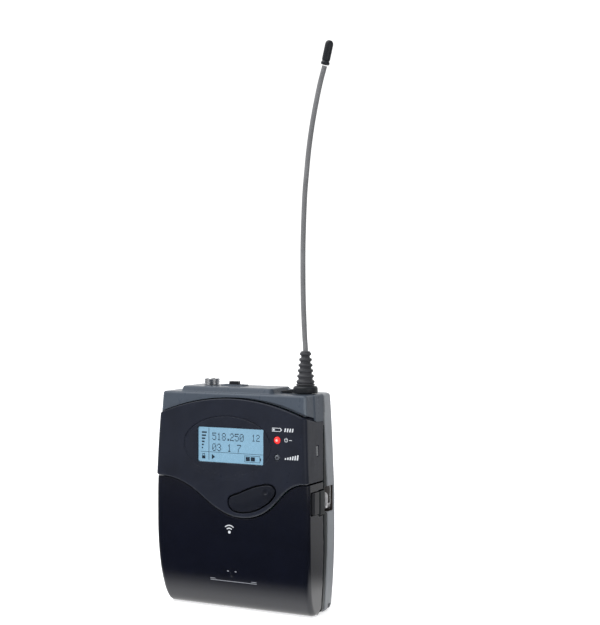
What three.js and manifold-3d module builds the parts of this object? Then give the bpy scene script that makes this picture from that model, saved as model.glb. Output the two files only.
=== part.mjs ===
// Wireless bodypack transmitter, modelled as the assembly it comes apart into.
// Millimetres, +Z up, front towards -Y, +X to the wearer's left. The origin is
// the middle of the flat under the case.
import * as THREE from 'three';
import { mergeVertices } from 'three/addons/utils/BufferGeometryUtils.js';
import Module from 'manifold-3d';

const wasm = await Module();
wasm.setup();

// ---------------------------------------------------------------- dimensions
const CASE_TOP = 79.9;          // lower level of the top face
const PLATEAU_TOP = 81.8;       // raised level that carries jack and mute slider
const PLATEAU = { x0: -23.2, x1: 15.8, y0: -8.8, y1: 7.4 };
const WALL = 1.6;               // moulded wall
const SEAM = 0.15;              // half of the gap at a visible joint line
const CORNER_FRONT = 1.8;       // vertical corner radii, front and back
const CORNER_BACK = 3.6;

// half width, front depth and back depth of the case by height
const HALF_WIDTH = [[0, 30.5], [3, 30.75], [7, 31.05], [11, 31.35], [19, 31.75], [27.5, 32], [42, 32], [47, 31.9],
  [51, 31.7], [61, 31.25], [71, 30.75], [76, 30.5], [80, 30.3]];
const DEPTH_PANEL = [[30, 12.75], [40, 13.0], [50, 13.0], [56, 12.9], [64, 12.65], [71, 12.3], [76, 12.0], [80, 11.7]];
const DEPTH_TOP = [[60, 11.7], [71, 11.25], [76, 10.95], [80, 10.65]];
const DEPTH_COVER = [[0, 3.0], [0.15, 3.9], [0.5, 4.8], [1.2, 5.8], [2.2, 6.7], [3.6, 7.6], [5.4, 8.5], [7.6, 9.25], [10, 9.9],
  [14, 10.75], [19, 11.4], [25, 11.85], [32, 12.1], [40, 12.15], [50, 12.05]];
const DEPTH_BACK = [[0, 9.9], [0.4, 10.7], [1.2, 11.4], [2.6, 11.9], [10, 12], [70, 12], [76, 11.8], [80, 11.6]];

// joint lines
const ARCH = { top: 78.1, k: 0.0067 };             // display panel under the top housing
const ARCH_SIDE = 71.5;                            // where that line runs round the sides
const WAVE = [[-36, 48.4], [-30.9, 48.35], [-25.9, 48.0], [-21.4, 47.0], [-17.5, 45.4], [-14.2, 43.5], [-10.9, 41.2],
  [-7.7, 39.0], [-4.4, 37.15], [-1.2, 35.8], [1.4, 35.15], [4.1, 34.85], [7.3, 34.95], [10.5, 35.65], [13.6, 36.9],
  [16.8, 39.1], [19.4, 41.6], [22, 44.4], [24.5, 46.5], [27.1, 47.8], [29.6, 48.3], [36, 48.4]];
const SEAM_FRONT = [[-2, 1.2], [0, 1.15], [9, 1.0], [15, 0.75], [24, 0.5], [35, 0.1], [45, 0.25], [52, 0.6], [60, 1.3],
  [68, 2.2], [76, 3.4], [84, 3.9]];                // back edge of panel, cover and top housing
const SEAM_BACK = 3.75;                            // front edge of the rear shell
const RIM_TOP = 72;                                // the chassis rim shows below this height

// battery cover hinge and catches
const HINGE = { y: -0.85, z: 1.85, r: 1.75, pin: 0.75 };
const EAR = { x: 19.8, half: 2.0, middle: 4.0 };   // outer ears, and the wider one at the middle
const CATCH = { y0: -8.9, y1: -4.35, z0: 37.4, z1: 45.3, travel: 1.1 };
const BOSS = { y0: -3.7, z0: 36.6, z1: 45.3 };     // keeper on the chassis beside each catch

// display
const WINDOW = { x0: -13.6, x1: 13.9, z0: 54.6, z1: 67.3 };
const DISH = { x: -0.9, z: 61.0, rx: 18.2, rz: 10.6, depth: 0.6 };   // half sizes of its rim
const LED = [{ x: 19.6, z: 63.9, r: 1.25 }, { x: 19.8, z: 57.8, r: 1.05 }];
const BUTTON = [[-0.15, 41.0], [0.6, 42.4], [4.1, 43.8], [6.8, 45.0], [9.5, 46.1], [12.1, 46.9], [14.6, 47.45], [16.3, 47.6],
  [17.7, 47.25], [18.6, 46.4], [18.9, 45.3], [18.6, 44.2], [17.9, 43.2], [16.6, 41.8], [14.6, 40.3], [12.0, 38.8],
  [9.4, 37.85], [6.7, 37.3], [4.1, 37.2], [1.9, 37.6], [0.6, 38.5], [-0.05, 39.6]];
const BUTTON_TRAVEL = 0.6;

// top controls
const JACK = { x: -15.1, y: 0.4, r: 2.9, bore: 1.8, top: 84.4 };
const MUTE = { x: -5.2, y: 0.4, slot: 8.4, width: 2.8, knob: 3.7, travel: 1.9, rim: 82.6, top: 83.6 };

// antenna
const AERIAL = { x: 24.7, y: 0, flange: 4.5, flangeTop: 82.8, bootTop: 95.4, whip: 0.95, cap: 1.5 };
const WHIP = [[0, 84], [0, 95.4], [-0.35, 101.3], [-0.9, 114], [-1.05, 128], [-0.9, 138], [-0.35, 151.5], [0.5, 161], [1.35, 168.8],
  [2.55, 176.7], [4.1, 184.6], [5.95, 192.5], [7.75, 198.6]];
const WHIP_TIP = [9.9, 207.6];

// battery bay: two AA cells, one above the other
const CELL = { r: 7.1, length: 49.3, nub: 1.1 };
const CELL_UPPER = { y: -3.2, z: 26.4 };
const CELL_LOWER = { y: -0.9, z: 11.6 };

// belt clip: sprung wire, pivoting in the side pockets
const CLIP = { y: 3.3, z: 43.4, wire: 0.8, legY: 17.6, legX: 25.2, foot: 6.5, swing: 25 };
const POCKET = { z0: 37.0, z1: 46.2 };

// ---------------------------------------------------------------- helpers
const lerp = (table, v) => {
  if (v <= table[0][0]) return table[0][1];
  for (let i = 1; i < table.length; i++) {
    if (v <= table[i][0]) {
      const [a, fa] = table[i - 1], [b, fb] = table[i];
      return fa + (fb - fa) * (v - a) / (b - a);
    }
  }
  return table[table.length - 1][1];
};

function solid(geometry) {
  const g = geometry.clone();
  for (const n of Object.keys(g.attributes)) if (n !== 'position') g.deleteAttribute(n);
  const m = mergeVertices(g, 1e-4);
  return new wasm.Manifold(new wasm.Mesh({
    numProp: 3,
    vertProperties: new Float32Array(m.attributes.position.array),
    triVerts: new Uint32Array(m.index.array),
  }));
}

function geometryOf(manifold) {
  const m = manifold.getMesh();
  const g = new THREE.BufferGeometry();
  g.setAttribute('position', new THREE.BufferAttribute(new Float32Array(m.vertProperties), 3));
  g.setIndex(new THREE.BufferAttribute(new Uint32Array(m.triVerts), 1));
  g.computeVertexNormals();
  return g;
}

const box = (x0, x1, y0, y1, z0, z1) => {
  const g = new THREE.BoxGeometry(x1 - x0, y1 - y0, z1 - z0);
  g.translate((x0 + x1) / 2, (y0 + y1) / 2, (z0 + z1) / 2);
  return solid(g);
};

const rodX = (r, x0, x1, y, z, n = 24) => {
  const g = new THREE.CylinderGeometry(r, r, x1 - x0, n);
  g.rotateZ(Math.PI / 2);
  g.translate((x0 + x1) / 2, y, z);
  return solid(g);
};
const rodY = (r, x, y0, y1, z, n = 24) => {
  const g = new THREE.CylinderGeometry(r, r, y1 - y0, n);
  g.translate(x, (y0 + y1) / 2, z);
  return solid(g);
};
const rodZ = (r, x, y, z0, z1, n = 24) => {
  const g = new THREE.CylinderGeometry(r, r, z1 - z0, n);
  g.rotateX(Math.PI / 2);
  g.translate(x, y, (z0 + z1) / 2);
  return solid(g);
};

const lathe = (profile, n = 24) => new THREE.LatheGeometry(profile.map(([r, h]) => new THREE.Vector2(r, h)), n);

// turned shape standing on +Z
const turnZ = (profile, x, y, n = 24) => {
  const g = lathe(profile, n);
  g.rotateX(Math.PI / 2);
  g.translate(x, y, 0);
  return solid(g);
};
// turned shape lying along X
const turnX = (profile, y, z, n = 24) => {
  const g = lathe(profile, n);
  g.rotateZ(-Math.PI / 2);
  g.translate(0, y, z);
  return solid(g);
};
// turned shape whose axis runs along -Y, the profile height counted forwards
const turnFront = (profile, x, z, n = 24) => {
  const g = lathe(profile, n);
  g.rotateX(Math.PI);          // +Y height to -Y
  g.rotateY(0);
  g.translate(x, 0, z);
  return solid(g);
};

const shapeOf = (points) => new THREE.Shape(points.map(([a, b]) => new THREE.Vector2(a, b)));

// outline in X and Z, thick along Y
const slabXZ = (points, y0, y1) => {
  const shape = points instanceof THREE.Shape ? points : shapeOf(points);
  const g = new THREE.ExtrudeGeometry(shape, { depth: y1 - y0, bevelEnabled: false, curveSegments: 3 });
  g.rotateX(Math.PI / 2);
  g.translate(0, y1, 0);
  return solid(g);
};
// outline in X and Y, tall along Z
const slabXY = (points, z0, z1) => {
  const shape = points instanceof THREE.Shape ? points : shapeOf(points);
  const g = new THREE.ExtrudeGeometry(shape, { depth: z1 - z0, bevelEnabled: false, curveSegments: 3 });
  g.translate(0, 0, z0);
  return solid(g);
};
// outline in Y and Z, wide along X
const slabYZ = (points, x0, x1) => {
  const g = new THREE.ExtrudeGeometry(shapeOf(points), { depth: x1 - x0, bevelEnabled: false, curveSegments: 3 });
  g.applyMatrix4(new THREE.Matrix4().set(0, 0, 1, x0, 1, 0, 0, 0, 0, 1, 0, 0, 0, 0, 0, 1));
  return solid(g);
};

const roundedRect = (x0, x1, y0, y1, r) => {
  const s = new THREE.Shape();
  s.moveTo(x0 + r, y0);
  s.lineTo(x1 - r, y0); s.absarc(x1 - r, y0 + r, r, -Math.PI / 2, 0, false);
  s.lineTo(x1, y1 - r); s.absarc(x1 - r, y1 - r, r, 0, Math.PI / 2, false);
  s.lineTo(x0 + r, y1); s.absarc(x0 + r, y1 - r, r, Math.PI / 2, Math.PI, false);
  s.lineTo(x0, y0 + r); s.absarc(x0 + r, y0 + r, r, Math.PI, Math.PI * 1.5, false);
  return s;
};

// a wire of round section along a list of points
function wire(points, r, sides, steps, tension = 0.5) {
  const curve = new THREE.CatmullRomCurve3(points.map((p) => new THREE.Vector3(...p)), false, 'catmullrom', tension);
  const section = new THREE.Shape();
  for (let i = 0; i < sides; i++) {
    const a = (i / sides) * Math.PI * 2;
    if (i) section.lineTo(r * Math.cos(a), r * Math.sin(a)); else section.moveTo(r, 0);
  }
  return solid(new THREE.ExtrudeGeometry(section, { steps, extrudePath: curve, bevelEnabled: false }));
}

const union = (list) => list.reduce((a, b) => a.add(b));

// --------------------------------------------------------- the case's outer form
// An upright slab whose half width and depths change with height.
function profileAt(table, z, inset, z0, z1, edge) {
  // distance-true inset of a profile that is closed off at z0 and z1
  const value = (q) => {
    let v = lerp(table, q);
    const top = z1 - q;
    if (edge > 0 && top < edge) v -= edge - Math.sqrt(Math.max(0, edge * edge - (edge - top) ** 2));
    return v;
  };
  if (inset <= 0) return value(z);
  let best = Infinity;
  for (let i = -24; i <= 24; i++) {
    const q = z + (i / 24) * inset;
    if (q < z0 || q > z1) continue;
    best = Math.min(best, value(q) - Math.sqrt(Math.max(0, inset * inset - (z - q) ** 2)));
  }
  return best;
}

function caseForm({ front, inset = 0, levels, z0 = 0, z1 = CASE_TOP, edge = 1.2, side = 0 }) {
  const W = 32, D = 12;
  const rf = Math.max(0.5, CORNER_FRONT - inset), rb = Math.max(0.6, CORNER_BACK - inset);
  const s = new THREE.Shape();
  s.moveTo(-W + rf, -D);
  s.lineTo(W - rf, -D); s.absarc(W - rf, -D + rf, rf, -Math.PI / 2, 0, false);
  s.lineTo(W, D - rb); s.absarc(W - rb, D - rb, rb, 0, Math.PI / 2, false);
  s.lineTo(-W + rb, D); s.absarc(-W + rb, D - rb, rb, Math.PI / 2, Math.PI, false);
  s.lineTo(-W, -D + rf); s.absarc(-W + rf, -D + rf, rf, Math.PI, Math.PI * 1.5, false);
  const n = levels.length - 1;
  const g = new THREE.ExtrudeGeometry(s, { depth: n, steps: n, bevelEnabled: false, curveSegments: 3 });
  const p = g.attributes.position;
  for (let i = 0; i < p.count; i++) {
    const z = levels[Math.round(p.getZ(i))];
    const w = profileAt(HALF_WIDTH, z, inset, z0, z1, edge) - side;
    const f = profileAt(front, z, inset, z0, z1, edge);
    const b = profileAt(DEPTH_BACK, z, inset, z0, z1, edge);
    const y = p.getY(i);
    p.setXYZ(i, p.getX(i) * w / W, y < 0 ? y * f / D : y * b / D, z);
  }
  return solid(g);
}

const spread = (a, b, n) => Array.from({ length: n + 1 }, (_, i) => a + (b - a) * i / n);
const archZ = (x) => Math.max(ARCH_SIDE, ARCH.top - ARCH.k * x * x);
const archLine = (dz) => spread(-36, 36, 36).map((x) => [x, archZ(x) + dz]);
const waveCurve = new THREE.CatmullRomCurve3(WAVE.map(([x, z]) => new THREE.Vector3(x, 0, z)), false, 'centripetal');
const waveLine = (dz) => waveCurve.getPoints(44).map((p) => [p.x, p.z + dz]);
const waveZ = (x) => lerp(waveCurve.getPoints(80).map((p) => [p.x, p.z]), x);

const above = (line, top = 130) => slabXZ([...line, [36, top], [-36, top]], -40, 40);
const below = (line, bottom = -20) => slabXZ([[-36, bottom], [36, bottom], ...[...line].reverse()], -40, 40);
const beforeSeam = (d) => slabYZ([[-40, -5], ...SEAM_FRONT.map(([z, y]) => [y - d, z]), [3.9 - d, 130], [-40, 130]], -50, 50);
const afterSeam = (d, back) => slabYZ([[back, -5], [back, 130], [3.9 + d, 130], ...[...SEAM_FRONT].reverse().map(([z, y]) => [y + d, z])].reverse().reverse(), -50, 50);

// ------------------------------------------------------------------ materials
const finish = (color, roughness, metalness = 0, extra = {}) =>
  new THREE.MeshStandardMaterial({ color, roughness, metalness, ...extra });
const M = {
  topGrey: () => finish(0x5d646b, 0.5, 0.1),
  panel: () => finish(0x2a2d34, 0.42, 0.05),
  cover: () => finish(0x232733, 0.5, 0.05),
  rear: () => finish(0x54575b, 0.6),
  frame: () => finish(0x46494d, 0.55),
  plastic: () => finish(0x1d1f22, 0.6),
  natural: () => finish(0xd9d8d2, 0.6),
  chrome: () => finish(0xd8d9db, 0.15, 1),
  steel: () => finish(0xb6b8bb, 0.28, 1),
  nickel: () => finish(0xc9c7c0, 0.3, 1),
  brass: () => finish(0xc8a85a, 0.35, 1),
  board: () => finish(0x1f5b3c, 0.5),
  rubber: () => finish(0x1a1b1e, 0.75),
};

const part = new THREE.Group();
const add = (name, shape, material) => {
  const mesh = new THREE.Mesh(shape instanceof THREE.BufferGeometry ? shape : geometryOf(shape), material);
  mesh.name = name;
  part.add(mesh);
  return mesh;
};

// ------------------------------------------------------------- top housing
const topLevels = [66, 72, 76, CASE_TOP - 1.2, CASE_TOP - 0.72, CASE_TOP - 0.3, CASE_TOP - 0.07, CASE_TOP];
const topOuter = caseForm({ front: DEPTH_TOP, levels: topLevels, side: 0.25 });
const topInner = caseForm({ front: DEPTH_TOP, inset: WALL, levels: [60, 70, 76, CASE_TOP - WALL - 0.6, CASE_TOP - WALL - 0.01], side: 0.25 });
const plateauShape = roundedRect(PLATEAU.x0 + 0.9, PLATEAU.x1 - 0.7, PLATEAU.y0 + 0.8, PLATEAU.y1 - 0.8, 1.4);
const plateauGeometry = new THREE.ExtrudeGeometry(plateauShape, {
  depth: 0.6, steps: 1, bevelEnabled: true, bevelThickness: 1.3, bevelSize: 0.8, bevelSegments: 2, curveSegments: 4,
});
plateauGeometry.translate(0, 0, PLATEAU_TOP - 1.9);
const plateau = solid(plateauGeometry);
const muteRimShape = roundedRect(MUTE.x - 5.1, MUTE.x + 5.1, MUTE.y - 2.3, MUTE.y + 2.3, 1.2);
let topHousing = topOuter.subtract(topInner).intersect(beforeSeam(SEAM)).intersect(above(archLine(SEAM)))
  .add(plateau)
  .add(slabXY(roundedRect(PLATEAU.x0 + 0.15, PLATEAU.x1 - 0.05, 0, PLATEAU.y1 - 0.05, 1), CASE_TOP - 1.5, CASE_TOP + 0.1))
  .add(slabXY(muteRimShape, PLATEAU_TOP - 0.6, MUTE.rim))
  .subtract(slabXY(roundedRect(PLATEAU.x0 + 2.4, PLATEAU.x1 - 2.4, PLATEAU.y0 + 2.2, PLATEAU.y1 - 2.6, 1), 76, PLATEAU_TOP - 1.7));
topHousing = topHousing
  .subtract(rodZ(JACK.r + 0.3, JACK.x, JACK.y, 70, 90, 28))
  .subtract(slabXY(roundedRect(MUTE.x - MUTE.slot / 2, MUTE.x + MUTE.slot / 2, MUTE.y - MUTE.width / 2, MUTE.y + MUTE.width / 2, 0.5), 70, 90))
  .subtract(rodZ(2.6, AERIAL.x, AERIAL.y, 70, 90, 24));
add('top_housing', topHousing, M.topGrey());

// ------------------------------------------------------------- display panel
const panelLevels = [30, 40, 50, 56, 64, 71, 76, 79.9];
const panelOuter = caseForm({ front: DEPTH_PANEL, levels: panelLevels, edge: 0 });
const panelInner = caseForm({ front: DEPTH_PANEL, inset: 1.8, levels: [28, 40, 50, 57, 64, 71, 76, 80.5], z0: 20, z1: 90, edge: 0 });
let panel = panelOuter.subtract(panelInner).intersect(beforeSeam(SEAM))
  .intersect(below(archLine(-SEAM))).intersect(above(waveLine(SEAM)));
// shallow oval dish round the window
const dishRim = Math.sqrt(1 - (1 - DISH.depth / 3.2) ** 2);
const dishGeometry = new THREE.SphereGeometry(1, 40, 24);
dishGeometry.scale(DISH.rx / dishRim, 3.2, DISH.rz / dishRim);
const frontAt = (table, z) => -lerp(table, z);
dishGeometry.translate(DISH.x, frontAt(DEPTH_PANEL, DISH.z) - 3.2 + DISH.depth, DISH.z);
panel = panel.subtract(solid(dishGeometry));
panel = panel.subtract(slabXZ(roundedRect(WINDOW.x0 - 0.3, WINDOW.x1 + 0.3, WINDOW.z0 - 0.3, WINDOW.z1 + 0.3, 0.7), -20, -9));
for (const l of LED) panel = panel.subtract(rodY(l.r + 0.25, l.x, -20, -9, l.z, 18));
const buttonOutline = (grow) => {
  const cx = BUTTON.reduce((a, p) => a + p[0], 0) / BUTTON.length, cz = BUTTON.reduce((a, p) => a + p[1], 0) / BUTTON.length;
  return BUTTON.map(([x, z]) => {
    const d = Math.hypot(x - cx, z - cz);
    return [cx + (x - cx) * (d + grow) / d, cz + (z - cz) * (d + grow) / d];
  });
};
panel = panel.subtract(slabXZ([...buttonOutline(0.3)].reverse(), -20, -9));
const IR = { y0: -4.5, y1: -2.5, z0: 57.8, z1: 61.8 };
panel = panel.subtract(box(28, 34, IR.y0, IR.y1, IR.z0, IR.z1));
add('display_panel', panel, M.panel());

add('ir_window', box(29.9, 31.15, IR.y0 + 0.25, IR.y1 - 0.25, IR.z0 + 0.25, IR.z1 - 0.25), finish(0x6d7074, 0.25, 0));

// ------------------------------------------------------------- window and display
const lens = slabXZ(roundedRect(WINDOW.x0, WINDOW.x1, WINDOW.z0, WINDOW.z1, 0.6), -12.0, -11.25);
add('window_lens', lens, finish(0xdfe8ee, 0.05, 0, { transparent: true, opacity: 0.35 }));
const gasket = slabXZ(roundedRect(WINDOW.x0 - 1.3, WINDOW.x1 + 1.3, WINDOW.z0 - 1.3, WINDOW.z1 + 1.3, 1), -10.55, -10.1)
  .subtract(slabXZ(roundedRect(WINDOW.x0 + 0.4, WINDOW.x1 - 0.4, WINDOW.z0 + 0.4, WINDOW.z1 - 0.4, 0.5), -12, -9));
add('window_gasket', gasket, M.rubber());
add('lcd_glass', slabXZ(roundedRect(WINDOW.x0 - 1, WINDOW.x1 + 1, WINDOW.z0 - 1, WINDOW.z1 + 1, 0.4), -9.9, -8.6), finish(0xb9d6ea, 0.2, 0));
const bezel = slabXZ(roundedRect(WINDOW.x0 - 2.2, WINDOW.x1 + 2.2, WINDOW.z0 - 2.2, WINDOW.z1 + 2.2, 0.8), -9.8, -6.9)
  .subtract(slabXZ(roundedRect(WINDOW.x0 - 1.2, WINDOW.x1 + 1.2, WINDOW.z0 - 1.2, WINDOW.z1 + 1.2, 0.5), -12, -5));
add('lcd_frame', bezel, M.plastic());
add('backlight_diffuser', slabXZ(roundedRect(WINDOW.x0 - 1, WINDOW.x1 + 1, WINDOW.z0 - 1, WINDOW.z1 + 1, 0.4), -8.4, -6.9), finish(0xf4f6f8, 0.5));
const displayBoard = slabXZ([[-26, 50], [-18, 50], [-3.5, 37.6], [20.5, 37.6], [26, 50], [27, 52], [27, 68.5], [22, 71], [-22, 71], [-27, 68.5], [-27, 52]], -6.6, -5.6);
add('display_board', displayBoard, M.board());
const ledBody = (l) => {
  const y = lerp(DEPTH_PANEL, l.z);
  return turnFront([[0, 6.85], [l.r + 0.5, 6.85], [l.r + 0.5, 8.2], [l.r, 8.2], [l.r, y - 0.5], [l.r * 0.86, y - 0.02], [l.r * 0.5, y + 0.28], [0, y + 0.38]], l.x, l.z, 18);
};
add('led_power', ledBody(LED[0]), finish(0xe2252b, 0.3));
add('led_peak', ledBody(LED[1]), finish(0x7f858c, 0.35));

// ------------------------------------------------------------- power button
const buttonFace = lerp(DEPTH_PANEL, 42.5) + 0.35;
const buttonShape = [...buttonOutline(0)].reverse().reverse();
let powerButton = slabXZ(buttonShape, -buttonFace, -10.85).add(slabXZ(buttonOutline(0.9), -10.9, -10.2));
powerButton = powerButton.subtract((() => {
  const g = new THREE.SphereGeometry(1, 18, 12);
  g.scale(1.35, 0.6, 1.35);
  g.translate(15.2, -buttonFace - 0.1, 45.2);
  return solid(g);
})());
powerButton = powerButton.add(rodY(1.6, 9, -10.3, -9.3, 42.2, 16));
add('power_button', powerButton, finish(0x24272f, 0.5));
const powerSwitch = box(6, 12, -8.1, -6.85, 39.2, 45.2).add(rodY(1.5, 9, -8.4, -8.0, 42.2, 16));
add('power_switch', powerSwitch, M.plastic());

// ------------------------------------------------------------- battery cover
const coverLevels = [0, 0.15, 0.5, 1.2, 2.2, 3.6, 5.4, 7.6, 10, 14, 19, 25, 32, 40, 50];
const coverOuter = caseForm({ front: DEPTH_COVER, levels: coverLevels, z1: 90, edge: 0 });
const coverInner = caseForm({ front: DEPTH_COVER, inset: WALL, levels: [WALL, 2.2, 3, 4.2, 6, 8.5, 11, 15, 20, 26, 32, 40, 51], z0: 0, z1: 90, edge: 0 });
let cover = coverOuter.subtract(coverInner).intersect(beforeSeam(SEAM)).intersect(below(waveLine(-SEAM)));
// the rear edge of the floor is rolled round the hinge axis
cover = cover.subtract(box(-40, 40, HINGE.y, 10, -2, HINGE.z));
cover = cover.add(rodX(HINGE.r, -30.4, 30.4, HINGE.y, HINGE.z, 24));
cover = cover.subtract(rodX(HINGE.pin + 0.3, -28.2, 28.2, HINGE.y, HINGE.z, 20));
cover = cover.subtract(box(-EAR.middle - 0.35, EAR.middle + 0.35, HINGE.y - 2.2, 6, -1, 6));
for (const s of [-1, 1]) {
  const x = s * EAR.x;
  cover = cover.subtract(box(x - EAR.half - 0.35, x + EAR.half + 0.35, HINGE.y - 2.2, 6, -1, 6));
  // window for the catch, and the notch that clears the keeper
  const a = Math.min(s * 28, s * 34), b = Math.max(s * 28, s * 34);
  cover = cover.subtract(box(a, b, CATCH.y0 - 0.35, CATCH.y1 + 0.3, CATCH.z0 - 0.35, CATCH.z1 + 0.35));
  cover = cover.subtract(box(a, b, BOSS.y0 - 0.35, 6, BOSS.z0 - 0.5, BOSS.z1 + 0.7));
}
// stiffening ribs inside the cover's face
cover = cover.add(box(-22, 22, -11.3, -10.5, 33.4, 34.0).intersect(coverOuter));
add('battery_cover', cover, M.cover());

// ------------------------------------------------------------- catches
for (const [s, name] of [[-1, 'left'], [1, 'right']]) {
  const face = 32.55, inner = 29.2;
  let c = slabXY([[s * inner, CATCH.y1 - 0.05], [s * inner, CATCH.y0 + 0.3], [s * (face - 0.3), CATCH.y0], [s * face, CATCH.y0 + 0.35], [s * face, CATCH.y1 - 0.4], [s * (face - 0.35), CATCH.y1 - 0.05]]
    .map((p) => p)[s > 0 ? 'slice' : 'reverse'](), CATCH.z0, CATCH.z1);
  // guide tongue running in the cover, behind the wall
  const g0 = Math.min(s * 28.4, s * 29.6), g1 = Math.max(s * 28.4, s * 29.6);
  c = c.add(box(g0, g1, CATCH.y0 - 0.6, CATCH.y1 + 0.1, CATCH.z0 - 1.0, CATCH.z1 + 1.0));
  add('catch_' + name, c, finish(0x4d5157, 0.5));
  // leaf spring: foot on the cover's wall, blade behind the catch
  const leaf = [[30.15, 31.6], [30.15, 34.9], [27.25, 35.7], [27.25, 44.4], [26.95, 44.4], [26.95, 35.45], [29.85, 34.65], [29.85, 31.6]].map(([x, z]) => [s * x, z]);
  add('catch_spring_' + name, slabXZ(s > 0 ? leaf : leaf.reverse(), CATCH.y0, -5.9), M.steel());
}

// ------------------------------------------------------------- chassis
const allLevels = [0.25, 1.2, 2.6, 6, 11, 19, 27.5, 42, 51, 61, 71, 76];
const ringOuter = caseForm({ front: DEPTH_PANEL, levels: allLevels, edge: 0, side: 0.3 });
const ringInner = caseForm({ front: DEPTH_PANEL, inset: 2.4, levels: [2.6, 6, 11, 19, 27.5, 42, 51, 61, 71, 77], z0: 0, z1: 90, edge: 0, side: 0.3 });
const rimRegion = slabYZ([...SEAM_FRONT.filter(([z]) => z >= -2 && z <= 68).map(([z, y]) => [y + SEAM + 0.1, z]), [2.65, RIM_TOP], [3.45, RIM_TOP], [3.45, -2]].reverse(), -50, 50);
let chassis = ringOuter.subtract(ringInner).intersect(rimRegion);
// web behind the display, above the battery bay
chassis = chassis.add(box(-30, 30, 1.6, 3.0, 36.4, 62));
chassis = chassis.subtract(box(-12, 18, -5, 8, 44, 58));
// keepers beside the catches
for (const s of [-1, 1]) {
  const a = Math.min(s * 29.9, s * 32.45), b = Math.max(s * 29.9, s * 32.45);
  const keeper = [[29.9, BOSS.y0], [32.45, BOSS.y0], [32.45, 0.45], [31.0, 1.3], [29.9, 1.3]];
  chassis = chassis.add(slabXY(s > 0 ? keeper : keeper.map(([x, y]) => [-x, y]).reverse(), BOSS.z0, BOSS.z1));
  // pivot blocks for the belt clip
  const p0 = Math.min(s * 25.6, s * 29.9), p1 = Math.max(s * 25.6, s * 29.9);
  chassis = chassis.add(box(p0, p1, 0.9, 5.1, 40.6, 46.0));
  const o0 = Math.min(s * 29.95, s * 34), o1 = Math.max(s * 29.95, s * 34);
  chassis = chassis.subtract(box(o0, o1, 1.32, 8, POCKET.z0, POCKET.z1));
  chassis = chassis.subtract(rodX(CLIP.wire + 0.3, Math.min(s * 26.6, s * 34), Math.max(s * 26.6, s * 34), CLIP.y, CLIP.z, 20));
  // hinge ears
  const e0 = s * EAR.x - EAR.half, e1 = s * EAR.x + EAR.half;
  chassis = chassis.add(rodX(HINGE.r - 0.1, e0, e1, HINGE.y, HINGE.z, 20).add(box(e0, e1, HINGE.y, 3.2, HINGE.z - 1.5, HINGE.z + 1.5)));
}
chassis = chassis.add(rodX(HINGE.r - 0.1, -EAR.middle, EAR.middle, HINGE.y, HINGE.z, 20).add(box(-EAR.middle, EAR.middle, HINGE.y, 3.2, 0, HINGE.z + 1.5)));
chassis = chassis.subtract(rodX(HINGE.pin + 0.3, -28.5, 28.5, HINGE.y, HINGE.z, 20));
add('chassis', chassis, M.frame());
add('cover_hinge_pin', rodX(HINGE.pin, -27.6, 27.6, HINGE.y, HINGE.z, 16), M.steel());

// ------------------------------------------------------------- rear shell
const rearLevels = [0, 0.4, 1.2, 2.6, 7, 11, 19, 27.5, 42, 51, 61, 71, 76, CASE_TOP - 1.2, CASE_TOP - 0.72, CASE_TOP - 0.3, CASE_TOP - 0.07, CASE_TOP];
const rearOuter = caseForm({ front: DEPTH_PANEL, levels: rearLevels });
const rearInner = caseForm({ front: DEPTH_PANEL, inset: 1.8, levels: [1.8, 4, 11, 19, 27.5, 42, 51, 61, 71, 76, CASE_TOP - 1.81] });
let rear = rearOuter.subtract(rearInner).intersect(box(-50, 50, SEAM_BACK, 40, -5, 120));
rear = rear.subtract(box(-50, 50, 0, 4.15, CASE_TOP - 7, CASE_TOP + 1));
rear = rear.subtract(box(PLATEAU.x0 - 0.25, PLATEAU.x1 + 0.25, 0, PLATEAU.y1 + 0.3, CASE_TOP - 2, 90));
const SCREWS = [[-26.4, 8.6], [26.4, 8.6], [-24.6, 73], [24.6, 73]];
for (const [x, z] of SCREWS) rear = rear.add(rodY(2.9, x, z < 40 ? 8.3 : 5.6, 11.4, z, 18).intersect(rearOuter));
for (const s of [-1, 1]) {
  // side pocket, open outwards, and the slot at its rear that the clip's wire leaves through
  const side = (u0, u1, y0, y1, z0, z1) => box(Math.min(s * u0, s * u1), Math.max(s * u0, s * u1), y0, y1, z0, z1);
  rear = rear.add(side(27.7, 30.6, 5.5, 11.3, POCKET.z0 - 1.1, POCKET.z1 + 1.1));
  rear = rear.subtract(side(29.0, 36, 2, 8, POCKET.z0, POCKET.z1));
  rear = rear.subtract(side(29.0, 30.8, 7, 16, POCKET.z0, POCKET.z1));
  const c0 = Math.min(s * 28.4, s * 34), c1 = Math.max(s * 28.4, s * 34);
  rear = rear.subtract(box(c0, c1, 7.8, 10.6, -1, 3.4));
}
for (const [x, z] of SCREWS) {
  rear = rear.subtract(rodY(2.15, x, 10.3, 14, z, 20)).subtract(rodY(1.25, x, 4, 14, z, 16));
}
rear = rear.subtract(box(-15, 15, 11.65, 14, 48, 68));
add('rear_shell', rear, M.rear());
add('type_plate', slabXZ(roundedRect(-14.7, 14.7, 48.3, 67.7, 1), 11.65, 11.95), finish(0xa9abad, 0.45, 0.4));

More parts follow.
